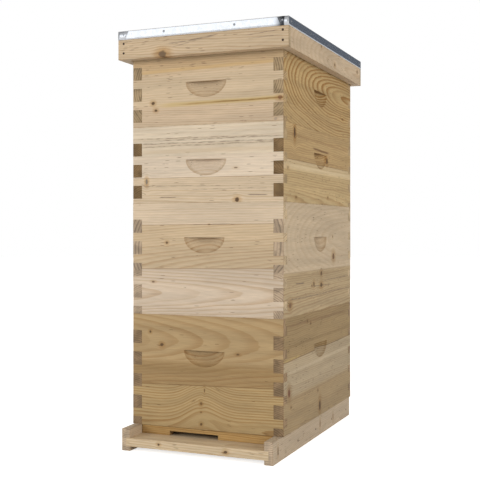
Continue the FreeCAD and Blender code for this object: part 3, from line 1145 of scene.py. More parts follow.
@dataclass
class Timber:
    """One piece of wood that stands for a CAD node.

    Attributes:
        node: The CAD node's name.
        outlook: Which way it lies.
        finish: Its wood.
        slot: The record's material slot; not used.
        arris: How far its edges are rounded, in metres.
        uneven: How far a sawn finger end may stand back, in metres.
        joint: The width of the line of glue, dust and painted gap shade round a finger's end, in metres.
        lie: How its grain runs.
    """

    node: str
    outlook: Outlook
    finish: WoodFinish
    slot: str = "hive_wood"
    arris: float = 0.0007
    uneven: float = 0.0
    joint: float = 0.0008
    lie: type[Lie] = Lie

    def build(self, effects: Effects) -> bpy.types.Object:
        """Makes the timber, rounds its edges and puts it on its body.

        Args:
            effects: The shared shader groups.

        Returns:
            The finished piece.
        """
        low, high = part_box(self.node)
        lie = self.lie(low, high, self.outlook)
        mesh = merged_copy(self.node)
        if self.uneven > 0:
            self.stagger_ends(mesh, lie)
        piece = as_object(mesh, "wood_" + self.node, self.finish.material(effects, lie))
        if self.uneven > 0:
            # The joint's line: glue and dust, with painted shade in the gap.
            piece.data.materials.append(self.finish.joint_glue_and_shade())
        for face in piece.data.polygons:
            face.use_smooth = True
        piece.data.set_sharp_from_angle(angle=math.radians(FACET_ANGLE))
        rounding = piece.modifiers.new("arris", "BEVEL")
        rounding.width = self.arris
        rounding.segments = 2
        rounding.limit_method = "ANGLE"
        rounding.angle_limit = math.radians(ARRIS_ANGLE)
        rounding.harden_normals = True
        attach(piece, bodies_by_node()[self.node])
        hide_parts(self.node)
        LOG.info("%s: %d faces", piece.name, len(piece.data.polygons))
        return piece

    def stagger_ends(self, mesh: bmesh.types.BMesh, lie: Lie) -> None:
        """Sets each sawn finger end back by a little, and frames it with the joint's line of glue, dust and
        painted gap shade.

        Args:
            mesh: The timber's mesh.
            lie: Which way it lies.
        """
        axis = self.outlook.value[0][0]
        dice = random.Random(self.node)
        ends = [face for face in mesh.faces if abs(face.normal[axis]) > 0.99]
        ends.sort(key=lambda face: tuple(round(part, 5) for part in face.calc_center_median()))
        fingers = []
        for face in ends:
            edge = lie.high[axis] if face.normal[axis] > 0 else lie.low[axis]
            if abs(face.calc_center_median()[axis] - edge) > 1e-5:
                continue
            step = dice.uniform(0.0, self.uneven) * (1 if face.normal[axis] > 0 else -1)
            for vertex in face.verts:
                vertex.co[axis] = edge - step
            if lie.low.z < face.calc_center_median().z < lie.high.z:
                fingers.append(face)
        # Each rim gets the joint's material: glue and dust, with painted shade in the gap.
        rims = bmesh.ops.inset_individual(mesh, faces=fingers, thickness=self.joint)["faces"]
        for rim in rims:
            rim.material_index = 1


@dataclass
class NailHeads:
    """The heads of one node's nails, set on their points by Geometry Nodes.

    Attributes:
        node: The CAD node whose nails they are.
        finish: Their metal.
        radius: The radius of a head, in metres.
        proud: How far a head stands out of the surface.
        sink: How far the heads of flush nails are taken back.
        seed: What the heads' small tilts are drawn from.
    """

    node: str
    finish: NailFinish
    radius: float = 0.0026
    proud: float = 0.001
    sink: float = 0.0
    seed: int = 4

    def points(self) -> list[tuple[Vector, Vector]]:
        """Where each head sits, and which way it faces.

        Returns:
            Each head's place and direction, in order.
        """
        mesh = merged_copy(self.node)
        middle = sum(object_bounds(), Vector()) / 2
        left = set(mesh.verts)
        found = []
        while left:
            island = {left.pop()}
            edge = list(island)
            while edge:
                for link in edge.pop().link_edges:
                    for vertex in link.verts:
                        if vertex in left:
                            left.remove(vertex)
                            island.add(vertex)
                            edge.append(vertex)
            low = Vector(min(vertex.co[axis] for vertex in island) for axis in range(3))
            high = Vector(max(vertex.co[axis] for vertex in island) for axis in range(3))
            sizes = high - low
            axis = max(range(2), key=lambda index: sizes[index])
            centre = (low + high) / 2
            facing = Vector((0.0, 0.0, 0.0))
            facing[axis] = 1.0 if centre[axis] > middle[axis] else -1.0
            centre[axis] = high[axis] if facing[axis] > 0 else low[axis]
            found.append((centre - facing * (self.proud + self.sink), facing))
        mesh.free()
        found.sort(key=lambda pair: tuple(round(part, 5) for part in pair[0]))
        return found

    def tree(self) -> bpy.types.NodeTree:
        """The node tree that sets a pillow-shaped head on every point.

        Returns:
            The tree.
        """
        made = bpy.data.node_groups.new("nail heads " + self.node, "GeometryNodeTree")
        takes = {"Geometry": "Geometry", "Radius": "Float", "Proud": "Float", "Metal": "Material"}
        for name, kind in takes.items():
            made.interface.new_socket(name, in_out="INPUT", socket_type="NodeSocket" + kind)
        made.interface.new_socket("Geometry", in_out="OUTPUT", socket_type="NodeSocketGeometry")
        graph = Graph(made)
        inlets = graph.put("NodeGroupInput").outputs
        ball = graph.put("GeometryNodeMeshUVSphere", {"Segments": 20, "Rings": 10, "Radius": 1.0}).outputs[0]
        spot = graph.put("GeometryNodeInputPosition").outputs[0]
        x, y, z = graph.split(spot)
        flat = graph.maths("POWER", graph.maths("ABSOLUTE", z), 0.45)
        flat = graph.maths("MULTIPLY", graph.maths("SIGN", z), flat)
        parts = {index: graph.maths("MULTIPLY", side, inlets["Radius"]) for index, side in enumerate((x, y))}
        parts[2] = graph.maths("MULTIPLY", flat, graph.maths("MULTIPLY", inlets["Proud"], 0.85))
        shaped = graph.put("ShaderNodeCombineXYZ", parts).outputs[0]
        head = graph.put("GeometryNodeSetPosition", {"Geometry": ball, "Position": shaped}).outputs[0]
        feeds = {"Name": "facing"}
        facing = graph.put("GeometryNodeInputNamedAttribute", feeds, data_type="FLOAT_VECTOR")
        feeds = {0: (-0.05, -0.05, -0.05), 1: (0.05, 0.05, 0.05), "Seed": self.seed}
        tilt = graph.put("FunctionNodeRandomValue", feeds, data_type="FLOAT_VECTOR")
        leaning = graph.vector("ADD", facing.outputs[0], tilt.outputs[0])
        turned = graph.put("FunctionNodeAlignRotationToVector", {"Vector": leaning}, axis="Z").outputs[0]
        feeds = {"Points": inlets["Geometry"], "Instance": head, "Rotation": turned}
        placed = graph.put("GeometryNodeInstanceOnPoints", feeds).outputs[0]
        real = graph.put("GeometryNodeRealizeInstances", {0: placed}).outputs[0]
        feeds = {"Geometry": real, "Material": inlets["Metal"]}
        dressed = graph.put("GeometryNodeSetMaterial", feeds).outputs[0]
        graph.feed(graph.put("NodeGroupOutput").inputs[0], dressed)
        return made

    def build(self) -> bpy.types.Object:
        """Sets the heads, turns them into a plain mesh and puts them on their body.

        Returns:
            The finished piece.
        """
        places = self.points()
        data = bpy.data.meshes.new("points " + self.node)
        data.from_pydata([place for place, _ in places], [], [])
        attribute = data.attributes.new("facing", "FLOAT_VECTOR", "POINT")
        attribute.data.foreach_set("vector", [part for _, facing in places for part in facing])
        holder = bpy.data.objects.new("points_" + self.node, data)
        bpy.context.scene.collection.objects.link(holder)
        setter = holder.modifiers.new("heads", "NODES")
        setter.node_group = self.tree()
        values = {"Radius": self.radius, "Proud": self.proud, "Metal": self.finish.material()}
        for item in setter.node_group.interface.items_tree:
            if item.name in values:
                setter[item.identifier] = values[item.name]
        ready = holder.evaluated_get(bpy.context.evaluated_depsgraph_get())
        plain = bpy.data.meshes.new_from_object(ready)
        bpy.data.objects.remove(holder)
        piece = bpy.data.objects.new("heads_" + self.node, plain)
        bpy.context.scene.collection.objects.link(piece)
        for face in plain.polygons:
            face.use_smooth = True
        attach(piece, bodies_by_node()[self.node])
        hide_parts(self.node)
        LOG.info("%s: %d heads", piece.name, len(places))
        return piece


@dataclass
class FoldedSheet:
    """The metal sheet folded down over the cover's deck, with lapped corners.

    Attributes:
        node: The CAD node it stands for.
        finish: Its metal.
        bend: The radius of the folds, in metres.
        gauge: The metal's thickness.
        sway: How far the skirt's lower edge wanders inwards.
        flap: How far a corner flap reaches along the end.
        spacing: The distance between the mesh's columns.
        settle: How far the top lies below the frame's.
        border: The width of the top's flat border.
    """

    node: str = "cover_sheet"
    finish: SheetFinish = field(default_factory=SheetFinish)
    bend: float = 0.0018
    gauge: float = 0.00045
    sway: float = 0.00004
    flap: float = 0.021
    spacing: float = 0.012
    settle: float = 0.00004
    border: float = 0.01

    def outline(self, low: Vector, high: Vector) -> list[tuple[Vector, Vector]]:
        """Points round the skirt with the way each one faces.

        Args:
            low: The sheet's lowest corner.
            high: Its highest corner.

        Returns:
            Each point and its outward direction, in order.
        """
        corners = [(high.x, low.y), (high.x, high.y), (low.x, high.y), (low.x, low.y)]
        inner = [(x - math.copysign(self.bend, x), y - math.copysign(self.bend, y)) for x, y in corners]
        points = []
        for index, (x, y) in enumerate(inner):
            start = -math.pi / 2 + index * math.pi / 2
            for step in range(5):
                angle = start + step * math.pi / 8
                facing = Vector((math.cos(angle), math.sin(angle), 0.0))
                points.append((Vector((x, y, 0.0)) + facing * self.bend, facing))
            after = Vector((*inner[(index + 1) % 4], 0.0)) + facing * self.bend
            run = after - points[-1][0]
            count = max(2, round(run.length / self.spacing))
            first = points[-1][0]
            points += [(first + run * (step / count), facing) for step in range(1, count)]
        return points

    def rows(self, low: Vector, high: Vector) -> list[tuple[float, float, float]]:
        """The skirt's and fold's heights, each with its step inwards and its share of the sway.

        Args:
            low: The sheet's lowest corner.
            high: Its highest corner.

        Returns:
            (height, step inwards, share of the sway) from the bottom up.
        """
        straight = high.z - self.bend - low.z
        rows = [(low.z + straight * step / 4, 0.0, (1 - step / 4) ** 2) for step in range(5)]
        for step in range(1, 6):
            angle = step * math.pi / 10
            rows.append((high.z - self.bend * (1 - math.sin(angle)), self.bend * (1 - math.cos(angle)), 0.0))
        return rows

    def build(self, effects: Effects) -> bpy.types.Object:
        """Folds the sheet, adds its corner flaps and puts it on the cover.

        Args:
            effects: The shared shader groups.

        Returns:
            The finished piece.
        """
        low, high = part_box(self.node)
        high.z -= self.settle
        mesh = bmesh.new()
        self.raise_skirt(mesh, low, high)
        self.close_top(mesh, high.z)
        for side in (-1, 1):
            for end in (-1, 1):
                self.add_flap(mesh, low, high, side, end)
        piece = as_object(mesh, "metal_" + self.node, self.finish.material(effects, low, high))
        for face in piece.data.polygons:
            face.use_smooth = True
        piece.data.set_sharp_from_angle(angle=math.radians(FOLD_ANGLE))
        wall = piece.modifiers.new("gauge", "SOLIDIFY")
        wall.thickness = self.gauge
        wall.offset = -1.0
        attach(piece, bodies_by_node()[self.node])
        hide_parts(self.node)
        LOG.info("%s: %d faces", piece.name, len(piece.data.polygons))
        return piece

    def raise_skirt(self, mesh: bmesh.types.BMesh, low: Vector, high: Vector) -> None:
        """Makes the skirt and the fold above it.

        Args:
            mesh: The sheet's mesh.
            low: The sheet's lowest corner.
            high: Its highest corner.
        """
        points = self.outline(low, high)
        rings = []
        for height, inwards, share in self.rows(low, high):
            ring = []
            for index, (point, facing) in enumerate(points):
                turn = math.tau * index / len(points)
                wander = 0.5 + 0.3 * math.sin(3 * turn + 0.7) + 0.2 * math.sin(11 * turn)
                place = point - facing * (inwards + self.sway * share * wander)
                ring.append(mesh.verts.new((place.x, place.y, height)))
            rings.append(ring)
        count = len(points)
        for below, above in zip(rings, rings[1:]):
            for index in range(count):
                after = (index + 1) % count
                mesh.faces.new((below[index], below[after], above[after], above[index]))

    def close_top(self, mesh: bmesh.types.BMesh, height: float) -> None:
        """Fills the flat top, with a border that keeps its shading flat.

        Args:
            mesh: The sheet's mesh.
            height: The height of the top.
        """
        bmesh.ops.remove_doubles(mesh, verts=mesh.verts, dist=1e-6)
        rim = [
            edge
            for edge in mesh.edges
            if edge.is_boundary and all(height - spot.co.z < 1e-6 for spot in edge.verts)
        ]
        top = bmesh.ops.holes_fill(mesh, edges=rim)["faces"]
        bmesh.ops.inset_individual(mesh, faces=top, thickness=self.border)

    def add_flap(self, mesh: bmesh.types.BMesh, low: Vector, high: Vector, side: int, end: int) -> None:
        """Adds a corner flap, folded round from the side skirt on to the end.

        Args:
            mesh: The sheet's mesh.
            low: The sheet's lowest corner.
            high: Its highest corner.
            side: 1 for the right side and -1 for the left.
            end: 1 for the back and -1 for the front.
        """
        corner_x = (high.x if side > 0 else low.x) - side * 0.0006
        face_y = high.y if end > 0 else low.y
        top = high.z - self.bend * 0.9
        bottom = low.z + 0.0006
        columns = []
        for step in range(6):
            share = step / 5
            lift = self.gauge + 0.0005 * math.sin(math.pi * share) ** 2
            lean = 0.004 * share
            across = corner_x - side * self.flap * share
            lower = mesh.verts.new((across + side * lean, face_y + end * lift, bottom))
            middle = mesh.verts.new((across, face_y + end * (lift - 0.0001), (bottom + top) / 2))
            upper = mesh.verts.new((across - side * lean, face_y + end * self.gauge * 0.9, top))
            columns.append((lower, middle, upper))
        for first, second in zip(columns, columns[1:]):
            for row in range(2):
                corners = [first[row], second[row], second[row + 1], first[row + 1]]
                if side * end < 0:
                    corners.reverse()
                mesh.faces.new(corners)


# ---- the hive's own timbers ----
LATE_BROWN: Tone = (0.2, 0.11, 0.05)
GREY_BROWN: Tone = (0.24, 0.175, 0.12)
RESIN: Tone = (0.36, 0.22, 0.07)
STRAW: Tone = (0.66, 0.5, 0.24)
AMBER: Tone = (0.58, 0.39, 0.17)
HONEY: Tone = (0.55, 0.4, 0.17)
DARK_LINE: Tone = (0.16, 0.11, 0.075)

MEDIUM_UPPER_FRONT = WoodFinish(
    "medium_upper_front",
    planks=(
        Plank(0, (0.575, 0.415, 0.24), 150, 60, 0.02, 4.0, 0.5),
        Plank(53, (0.58, 0.45, 0.3), 250, 90, 0.015, 4.6, 0.35, drop=-7, soft=2.0, line=0.1),
        Plank(124, (0.575, 0.44, 0.3), 190, 30, 0.03, 3.8, 0.45, drop=-3, line=0.1),
    ),
    end_tone=(0.34, 0.245, 0.14),
    knots=(
        Knot(170, 120, 6, 5, 0.7, 0.5, (0.16, 0.06, 0.03)),
        Knot(-127.6, 117, 4.4, 4, 0.9, 0.6),
        Knot(-121, 133, 4, 3.4, 0.9, 0.6),
        Knot(160, 164, 4, 4, 0.4, 0.2, (0.2, 0.17, 0.15)),
    ),
    streaks=(
        Streak(-176, 190, 49, -7, 5.0, AMBER, 0.5, 0.15),
        Streak(-176, 190, 57, -7, 3.4, (0.46, 0.31, 0.18), 0.35, 0.3),
        Streak(-120, 190, 123, -3, 7.0, HONEY, 0.75, 0.1),
        Streak(-60, 190, 122.5, -2.5, 3.2, RESIN, 0.75, 0.2),
        Streak(20, 190, 121.5, -1.5, 1.8, (0.2, 0.11, 0.03), 0.6, 0.4),
    ),
    flecks=0.5,
    seed=1.0,
)
MEDIUM_LOWER_FRONT = WoodFinish(
    "medium_lower_front",
    planks=(
        Plank(0, (0.65, 0.54, 0.4), 60, 90, 0.0, 4.2, 0.3),
        Plank(66, (0.675, 0.555, 0.42), 240, 120, 0.01, 4.8, 0.25, line=0.1, soft=1.5),
        Plank(113.5, (0.62, 0.49, 0.34), 200, 50, 0.02, 3.8, 0.5, line=0.5),
    ),
    end_tone=(0.2, 0.125, 0.058),
    knots=(
        Knot(-143.6, 121.5, 3.2, 7, 0.9, 0.7, (0.2, 0.17, 0.13)),
        Knot(73, 163, 5.6, 5.2, 0.95, 0.6),
        Knot(70, 95, 5, 1.8, 0.7, 0.3),
    ),
    streaks=(
        Streak(-176, 130, 27, 2, 2.0, GREY_BROWN, 0.75, 0.75),
        Streak(-150, 190, 32, -1, 2.0, GREY_BROWN, 0.75, 0.75),
        Streak(-176, 190, 38, 1, 2.2, GREY_BROWN, 0.8, 0.75),
        Streak(-176, 190, 45, -3, 2.0, GREY_BROWN, 0.75, 0.75),
        Streak(-176, 190, 56, 0, 7.0, (0.55, 0.41, 0.26), 0.5, 0.2),
        Streak(-112, -70, 156, 0, 1.6, DARK_LINE, 0.8, 0.2),
        Streak(98, 142, 153, 0, 1.6, DARK_LINE, 0.8, 0.2),
        Streak(-176, 60, 131, 2, 1.6, GREY_BROWN, 0.6, 0.8),
        Streak(-60, 190, 140, -2, 1.6, GREY_BROWN, 0.5, 0.8),
    ),
    flecks=0.4,
    seed=2.0,
)
DEEP_UPPER_FRONT = WoodFinish(
    "deep_upper_front",
    planks=(
        Plank(0, (0.64, 0.51, 0.365), 210, 110, 0.0, 4.4, 0.35),
        Plank(48.6, (0.565, 0.43, 0.275), 165, 60, -0.09, 5.0, 0.5, drop=-3, line=0.6),
        Plank(145, (0.61, 0.49, 0.365), 198, 30, 0.06, 6.0, 0.5, drop=-5, line=0.6),
    ),
    end_tone=(0.4, 0.3, 0.205),
    knots=(
        Knot(-93.6, 87, 3.4, 3.4, 0.8, 0.5),
        Knot(8, 47, 2.4, 1.8, 0.6, 0.3),
        Knot(-127, 173, 4.5, 2.2, 0.7, 0.35),
    ),
    streaks=(
        Streak(-176, 40, 112, 5, 5, LATE_BROWN, 0.14, 0.6),
        Streak(20, 190, 128, 2, 3, LATE_BROWN, 0.14, 0.7),
        Streak(-30, 60, 47, -0.5, 1.4, DARK_LINE, 0.6, 0.6),
    ),
    flecks=0.18,
    seed=3.0,
)
DEEP_LOWER_FRONT = WoodFinish(
    "deep_lower_front",
    planks=(
        Plank(0, (0.42, 0.292, 0.147), 56, 60, 0.13, 8.5, 0.5),
        Plank(102, (0.355, 0.234, 0.106), 56, 60, 0.13, 6.5, 0.45, soft=5, line=0.0),
        Plank(154.6, (0.435, 0.307, 0.147), 244, 26, -0.05, 5.2, 0.8, drop=-9, line=0.6),
    ),
    end_tone=(0.25, 0.167, 0.093),
    knots=(
        Knot(-134.6, 38.6, 3.2, 3.2, 0.85, 0.5),
        Knot(-106, 66, 4.6, 4.2, 0.85, 0.6),
        Knot(75, 78.6, 4.6, 2.2, 0.75, 0.4),
        Knot(-11, 188.6, 3.0, 4.4, 0.6, 0.5),
        Knot(-11, 207, 2.0, 1.6, 0.8, 0.4),
        Knot(-10.6, 233, 3.4, 3.4, 0.8, 0.5),
        Knot(-3, 160, 1.5, 5, 0.7, 0.3),
    ),
    streaks=(
        Streak(-176, 190, 118, -2, 7, (0.26, 0.16, 0.06), 0.35, 0.3),
    ),
    swells=(Swell(-8, 46, 24, 150), Swell(-100, 60, -5, 150)),
    flecks=0.15,
    seed=4.0,
)

MEDIUM_UPPER_SIDE = WoodFinish(
    "medium_upper_right",
    planks=(
        Plank(0, (0.475, 0.33, 0.153), 66, 38, -0.15, 5.4, 1.4, bow=0.0003),
        Plank(126, (0.46, 0.323, 0.155), 66, 38, -0.15, 5.4, 1.2, drop=4, line=0.25, soft=2.0, bow=0.0003),
    ),
    end_tone=(0.42, 0.29, 0.15),
    knots=(Knot(180, 118, 6, 3, 0.45, 0.35),),
    streaks=(Streak(-240, 240, 134, 8, 3, LATE_BROWN, 0.2, 0.6),),
    flecks=0.4,
    seed=5.0,
)
MEDIUM_LOWER_SIDE = WoodFinish(
    "medium_lower_right",
    planks=(
        Plank(0, (0.49, 0.34, 0.165), -60, 60, 0.02, 4.0, 0.8),
        Plank(77, (0.6, 0.455, 0.265), 200, 120, 0.0, 4.4, 0.4, line=0.6),
        Plank(100, (0.525, 0.385, 0.2), 170, 40, 0.03, 4.2, 0.7, line=0.3),
    ),
    end_tone=(0.42, 0.3, 0.165),
    knots=(
        Knot(-182, 18, 6, 13, 0.95, 0.7),
        Knot(50, 64, 6, 8, 0.95, 0.6),
        Knot(-174, 157, 5, 3, 0.6, 0.4),
        Knot(56.5, 150, 5, 3, 0.6, 0.4),
        Knot(-226, 96, 7, 4, 0.4, 0.3),
    ),
    streaks=(
        Streak(-58, 66, 42, 3, 3.6, LATE_BROWN, 0.95, 0.1),
        Streak(-250, 250, 22, 5, 4.0, (0.3, 0.18, 0.08), 0.6, 0.5),
        Streak(-250, 250, 66, 6, 3.0, (0.3, 0.18, 0.08), 0.55, 0.6),
        Streak(-250, 250, 90, 0, 4.0, (0.68, 0.54, 0.33), 0.7, 0.3),
        Streak(-250, 250, 132, -4, 3.0, (0.33, 0.21, 0.1), 0.5, 0.6),
        Streak(-240, 240, 98, 0, 1.6, STRAW, 0.5, 0.2),
    ),
    flecks=0.35,
    seed=6.0,
)
DEEP_UPPER_SIDE = WoodFinish(
    "deep_upper_right",
    planks=(
        Plank(0, (0.545, 0.425, 0.285), 80, 56, -0.16, 8.0, 0.3, bow=0.0003),
        Plank(151, (0.46, 0.345, 0.2), 260, 44, -0.03, 4.2, 0.8, line=0.3, soft=3.0),
    ),
    end_tone=(0.52, 0.39, 0.24),
    knots=(
        Knot(96, 75, 3, 3, 0.7, 0.4),
        Knot(101.6, 123, 9, 9, 0.9, 0.6, (0.14, 0.07, 0.035)),
        Knot(-64.5, 185, 4, 3, 0.7, 0.4),
        Knot(5, 160, 6, 6, 0.9, 0.5),
        Knot(5, 187, 9, 6, 0.9, 0.6),
        Knot(-50, 182, 5, 6, 0.85, 0.5),
        Knot(-211, 219, 9, 7, 0.7, 0.6, (0.14, 0.07, 0.035)),
    ),
    streaks=(
        Streak(-176, -118, 175, 1, 2.2, DARK_LINE, 0.9, 0.25),
        Streak(-60, 80, 187, 2, 1.8, DARK_LINE, 0.75, 0.6),
        Streak(-250, 250, 158, 3, 2.6, (0.3, 0.2, 0.1), 0.6, 0.6),
        Streak(-240, -60, 206, 3, 2.2, DARK_LINE, 0.7, 0.8),
        Streak(20, 250, 178, -3, 2.2, DARK_LINE, 0.7, 0.8),
        Streak(-100, 250, 208, -3, 2.4, DARK_LINE, 0.7, 0.8),
    ),
    flecks=0.22,
    seed=7.0,
)
DEEP_LOWER_SIDE = WoodFinish(
    "deep_lower_right",
    planks=(
        Plank(0, (0.345, 0.243, 0.118), -40, 40, 0.02, 4.2, 0.8),
        Plank(93, (0.44, 0.345, 0.22), 300, 60, 0.04, 4.2, 0.6, drop=-9, line=0.9),
        Plank(170, (0.375, 0.273, 0.148), 300, 60, 0.04, 4.2, 0.7, soft=8, line=0.0),
    ),
    end_tone=(0.31, 0.21, 0.12),
    knots=(
        Knot(-96, 18, 4, 3, 0.7, 0.4),
        Knot(-73, 25, 4, 3, 0.7, 0.4),
        Knot(-218, 159, 8, 10, 0.9, 0.6, (0.15, 0.05, 0.025)),
        Knot(-206, 191, 4, 3, 0.7, 0.4),
        Knot(-20, 185, 4, 3, 0.7, 0.4),
        Knot(-6, 221, 7, 13, 0.95, 0.6),
    ),
    streaks=(
        Streak(-240, 240, 18, 2, 5, LATE_BROWN, 0.6, 0.4),
        Streak(-252, 252, 62, 0, 4, (0.2, 0.125, 0.05), 0.5, 0.5),
        Streak(-252, 252, 118, -6, 5, (0.56, 0.45, 0.3), 0.6, 0.4),
        Streak(-252, 252, 178, -5, 3, (0.22, 0.14, 0.07), 0.5, 0.7),
        Streak(-252, -150, 91, -3, 4, (0.5, 0.36, 0.14), 0.6, 0.3),
        Streak(-148, -114, 240, 0, 1.6, DARK_LINE, 0.55, 0.3),
        Streak(96, 130, 240, 0, 1.6, DARK_LINE, 0.55, 0.3),
    ),
    flecks=0.7,
    seed=8.0,
)


@dataclass(frozen=True)
class Sibling:
    """A board of the same stock as another, with its own rings and knots.

    Attributes:
        seed: Which piece of the noise it is cut from.
        lean: How much the depth of its pith lines differs, in millimetres.
        knots: Its knots.
    """

    seed: float
    lean: float
    knots: tuple[Knot, ...]

    def sawn_from(self, finish: WoodFinish, name: str) -> WoodFinish:
        """The sibling's own finish.

        Args:
            finish: The board it is like.
            name: Its own name.

        Returns:
            The new board's finish.
        """
        planks = tuple(
            replace(
                plank,
                pith=plank.pith + self.lean,
                reach=plank.reach * 1.15,
                slope=-plank.slope,
                drop=-plank.drop,
            )
            for plank in finish.planks
        )
        streaks = finish.streaks[-1:]
        return replace(finish, name=name, planks=planks, knots=self.knots, streaks=streaks, seed=self.seed)


@dataclass
class HiveBox:
    """A box of four finger-jointed boards.

    Attributes:
        name: The box's name, which begins each node's name.
        boards: The finish of the board on each side.
        frames: The wood of the frames that ride with it, if any do.
        foundations: The wax in those frames.
        uneven: How far a sawn finger end may stand back, in metres.
    """

    name: str
    boards: dict[Outlook, WoodFinish]
    frames: WoodFinish | None = None
    foundations: WaxFinish | None = None
    uneven: float = 0.0004

    def build(self, effects: Effects) -> None:
        """Makes the four boards and dresses the frames inside.

        Args:
            effects: The shared shader groups.
        """
        for outlook, finish in self.boards.items():
            node = f"{self.name}_{outlook.name.lower()}"
            Timber(node, outlook, finish, uneven=self.uneven).build(effects)
        if self.frames and self.foundations:
            dress_frame(self.name + "_frames", self.frames, effects)
            dress_wax(self.name + "_foundations", self.foundations)


def dress_frame(node: str, finish: WoodFinish, effects: Effects) -> bpy.types.Object:
    """Makes the softened copy of a frame node.

    Args:
        node: The CAD node.
        finish: Its wood.
        effects: The shared shader groups.

    Returns:
        The finished piece.
    """
    timber = Timber(node, Outlook.FLAT_LENGTHWISE, finish, slot="frame_wood", arris=0.0002, lie=FrameLie)
    return timber.build(effects)


def dress_wax(node: str, finish: WaxFinish) -> None:
    """Gives a foundation's CAD node its wax.

    Args:
        node: The CAD node.
        finish: Its wax.
    """
    made = frame["nodes"][node]
    made.data.materials.clear()
    made.data.materials.append(finish.material())
    LOG.info("%s: wax", node)


@dataclass
class LiftingFrames:
    """The frames of the top box, each on a body of its own.

    Attributes:
        count: How many there are.
        tone: Their wood's colour.
        foundation: Their wax.
    """

    count: int = 8
    tone: Tone = (0.66, 0.52, 0.34)
    foundation: WaxFinish = field(default_factory=WaxFinish)

    def finish(self, number: int) -> WoodFinish:
        """The wood of one frame, a little different from its neighbours.

        Args:
            number: The frame's number.

        Returns:
            Its wood.
        """
        shade = 1.0 + 0.06 * math.sin(2.4 * number)
        tone = tuple(part * shade for part in self.tone)
        plank = Plank(0, tone, -30 + 9 * number, 40 + 6 * number, 0.02, 2.6, 0.4)
        return WoodFinish(f"top_frame_{number}", (plank,), (0.46, 0.34, 0.2), seed=40.0 + number)

    def build(self, effects: Effects) -> None:
        """Makes the frames and dresses their wax.

        Args:
            effects: The shared shader groups.
        """
        for number in range(1, self.count + 1):
            dress_frame(f"top_frame_{number}", self.finish(number), effects)
            dress_wax(f"top_foundation_{number}", replace(self.foundation, name=f"top_wax_{number}"))


@dataclass
class BottomBoard:
    """The bottom board: grooved rails, floor, rear cleat, nails and the entrance reducer.

    Attributes:
        rail: The rails' wood.
        floor: The floor's wood.
        cleat: The rear cleat's wood.
        reducer: The reducer's wood.
    """

    rail: WoodFinish = WoodFinish(
        "rail_right",
        planks=(Plank(0, (0.52, 0.415, 0.295), -20, 22, 0.03, 3.6, 0.5),),
        end_tone=(0.47, 0.36, 0.25),
        knots=(
            Knot(-250, 24, 3, 9, 0.75, 0.4),
            Knot(33, 22, 3, 9, 0.75, 0.4),
            Knot(136, 26, 3, 8, 0.7, 0.4),
        ),
        flecks=0.4,
        seed=9.0,
    )
    floor: WoodFinish = WoodFinish(
        "floor_board",
        planks=(Plank(0, (0.65, 0.515, 0.34), 34, 22, 0.03, 4.2, 0.55),),
        end_tone=(0.34, 0.25, 0.14),
        knots=(Knot(-86, 8.5, 3.4, 3, 0.9, 0.5), Knot(70, 10, 4.4, 3.6, 0.9, 0.6)),
        flecks=0.4,
        seed=10.0,
    )
    cleat: WoodFinish = WoodFinish(
        "rear_cleat",
        planks=(Plank(0, (0.5, 0.38, 0.22), -20, 30, 0.02, 3.2, 0.45),),
        end_tone=(0.36, 0.26, 0.15),
        seed=11.0,
    )
    reducer: WoodFinish = WoodFinish(
        "entrance_reducer",
        planks=(Plank(0, (0.455, 0.285, 0.108), 40, 30, 0.03, 3.4, 0.8),),
        end_tone=(0.34, 0.2, 0.08),
        flecks=0.2,
        seed=12.0,
    )

    def build(self, effects: Effects) -> None:
        """Makes every timber and sets the nails.

        Args:
            effects: The shared shader groups.
        """
        Timber("rail_right", Outlook.RIGHT, self.rail).build(effects)
        left = Sibling(19.0, 9.0, (Knot(90, 20, 3, 8, 0.7, 0.4),)).sawn_from(self.rail, "rail_left")
        Timber("rail_left", Outlook.LEFT, left).build(effects)
        Timber("floor_board", Outlook.FRONT, self.floor).build(effects)
        Timber("rear_cleat", Outlook.BACK, self.cleat).build(effects)
        Timber("entrance_reducer", Outlook.FRONT, self.reducer).build(effects)
        steel = NailFinish("rail_nail_steel", (0.2, 0.16, 0.13), (0.07, 0.04, 0.025), 0.9)
        NailHeads("rail_nails", steel, proud=0.0003).build()


@dataclass
class InnerCover:
    """The inner cover: a thin panel with a feed hole in a rim of four strips.

    Attributes:
        panel: The panel's wood.
        rim: The rim's wood.
    """

    panel: WoodFinish = WoodFinish(
        "inner_cover_panel",
        planks=(
            Plank(0, (0.55, 0.41, 0.24), 60, 30, 0.03, 4.2, 0.55),
            Plank(150, (0.58, 0.44, 0.27), 230, 26, -0.03, 4.0, 0.5),
        ),
        end_tone=(0.4, 0.3, 0.18),
        knots=(Knot(-120, 40, 6, 4, 0.7, 0.5), Knot(90, 210, 4, 3, 0.7, 0.4)),
        seed=13.0,
    )
    rim: WoodFinish = WoodFinish(
        "inner_cover_rim",
        planks=(Plank(0, (0.58, 0.45, 0.29), -20, 30, 0.02, 3.2, 0.45),),
        end_tone=(0.42, 0.31, 0.18),
        seed=14.0,
    )

    def build(self, effects: Effects) -> None:
        """Makes the panel and the four strips.

        Args:
            effects: The shared shader groups.
        """
        Timber("inner_cover_panel", Outlook.FLAT_LENGTHWISE, self.panel).build(effects)
        sides = {"right": Outlook.FLAT_LENGTHWISE, "left": Outlook.FLAT_LENGTHWISE}
        sides |= {"front": Outlook.FLAT_ACROSS, "back": Outlook.FLAT_ACROSS}
        for number, (side, outlook) in enumerate(sides.items()):
            finish = replace(self.rim, name="inner_cover_" + side, seed=14.0 + number)
            Timber("inner_cover_" + side, outlook, finish).build(effects)


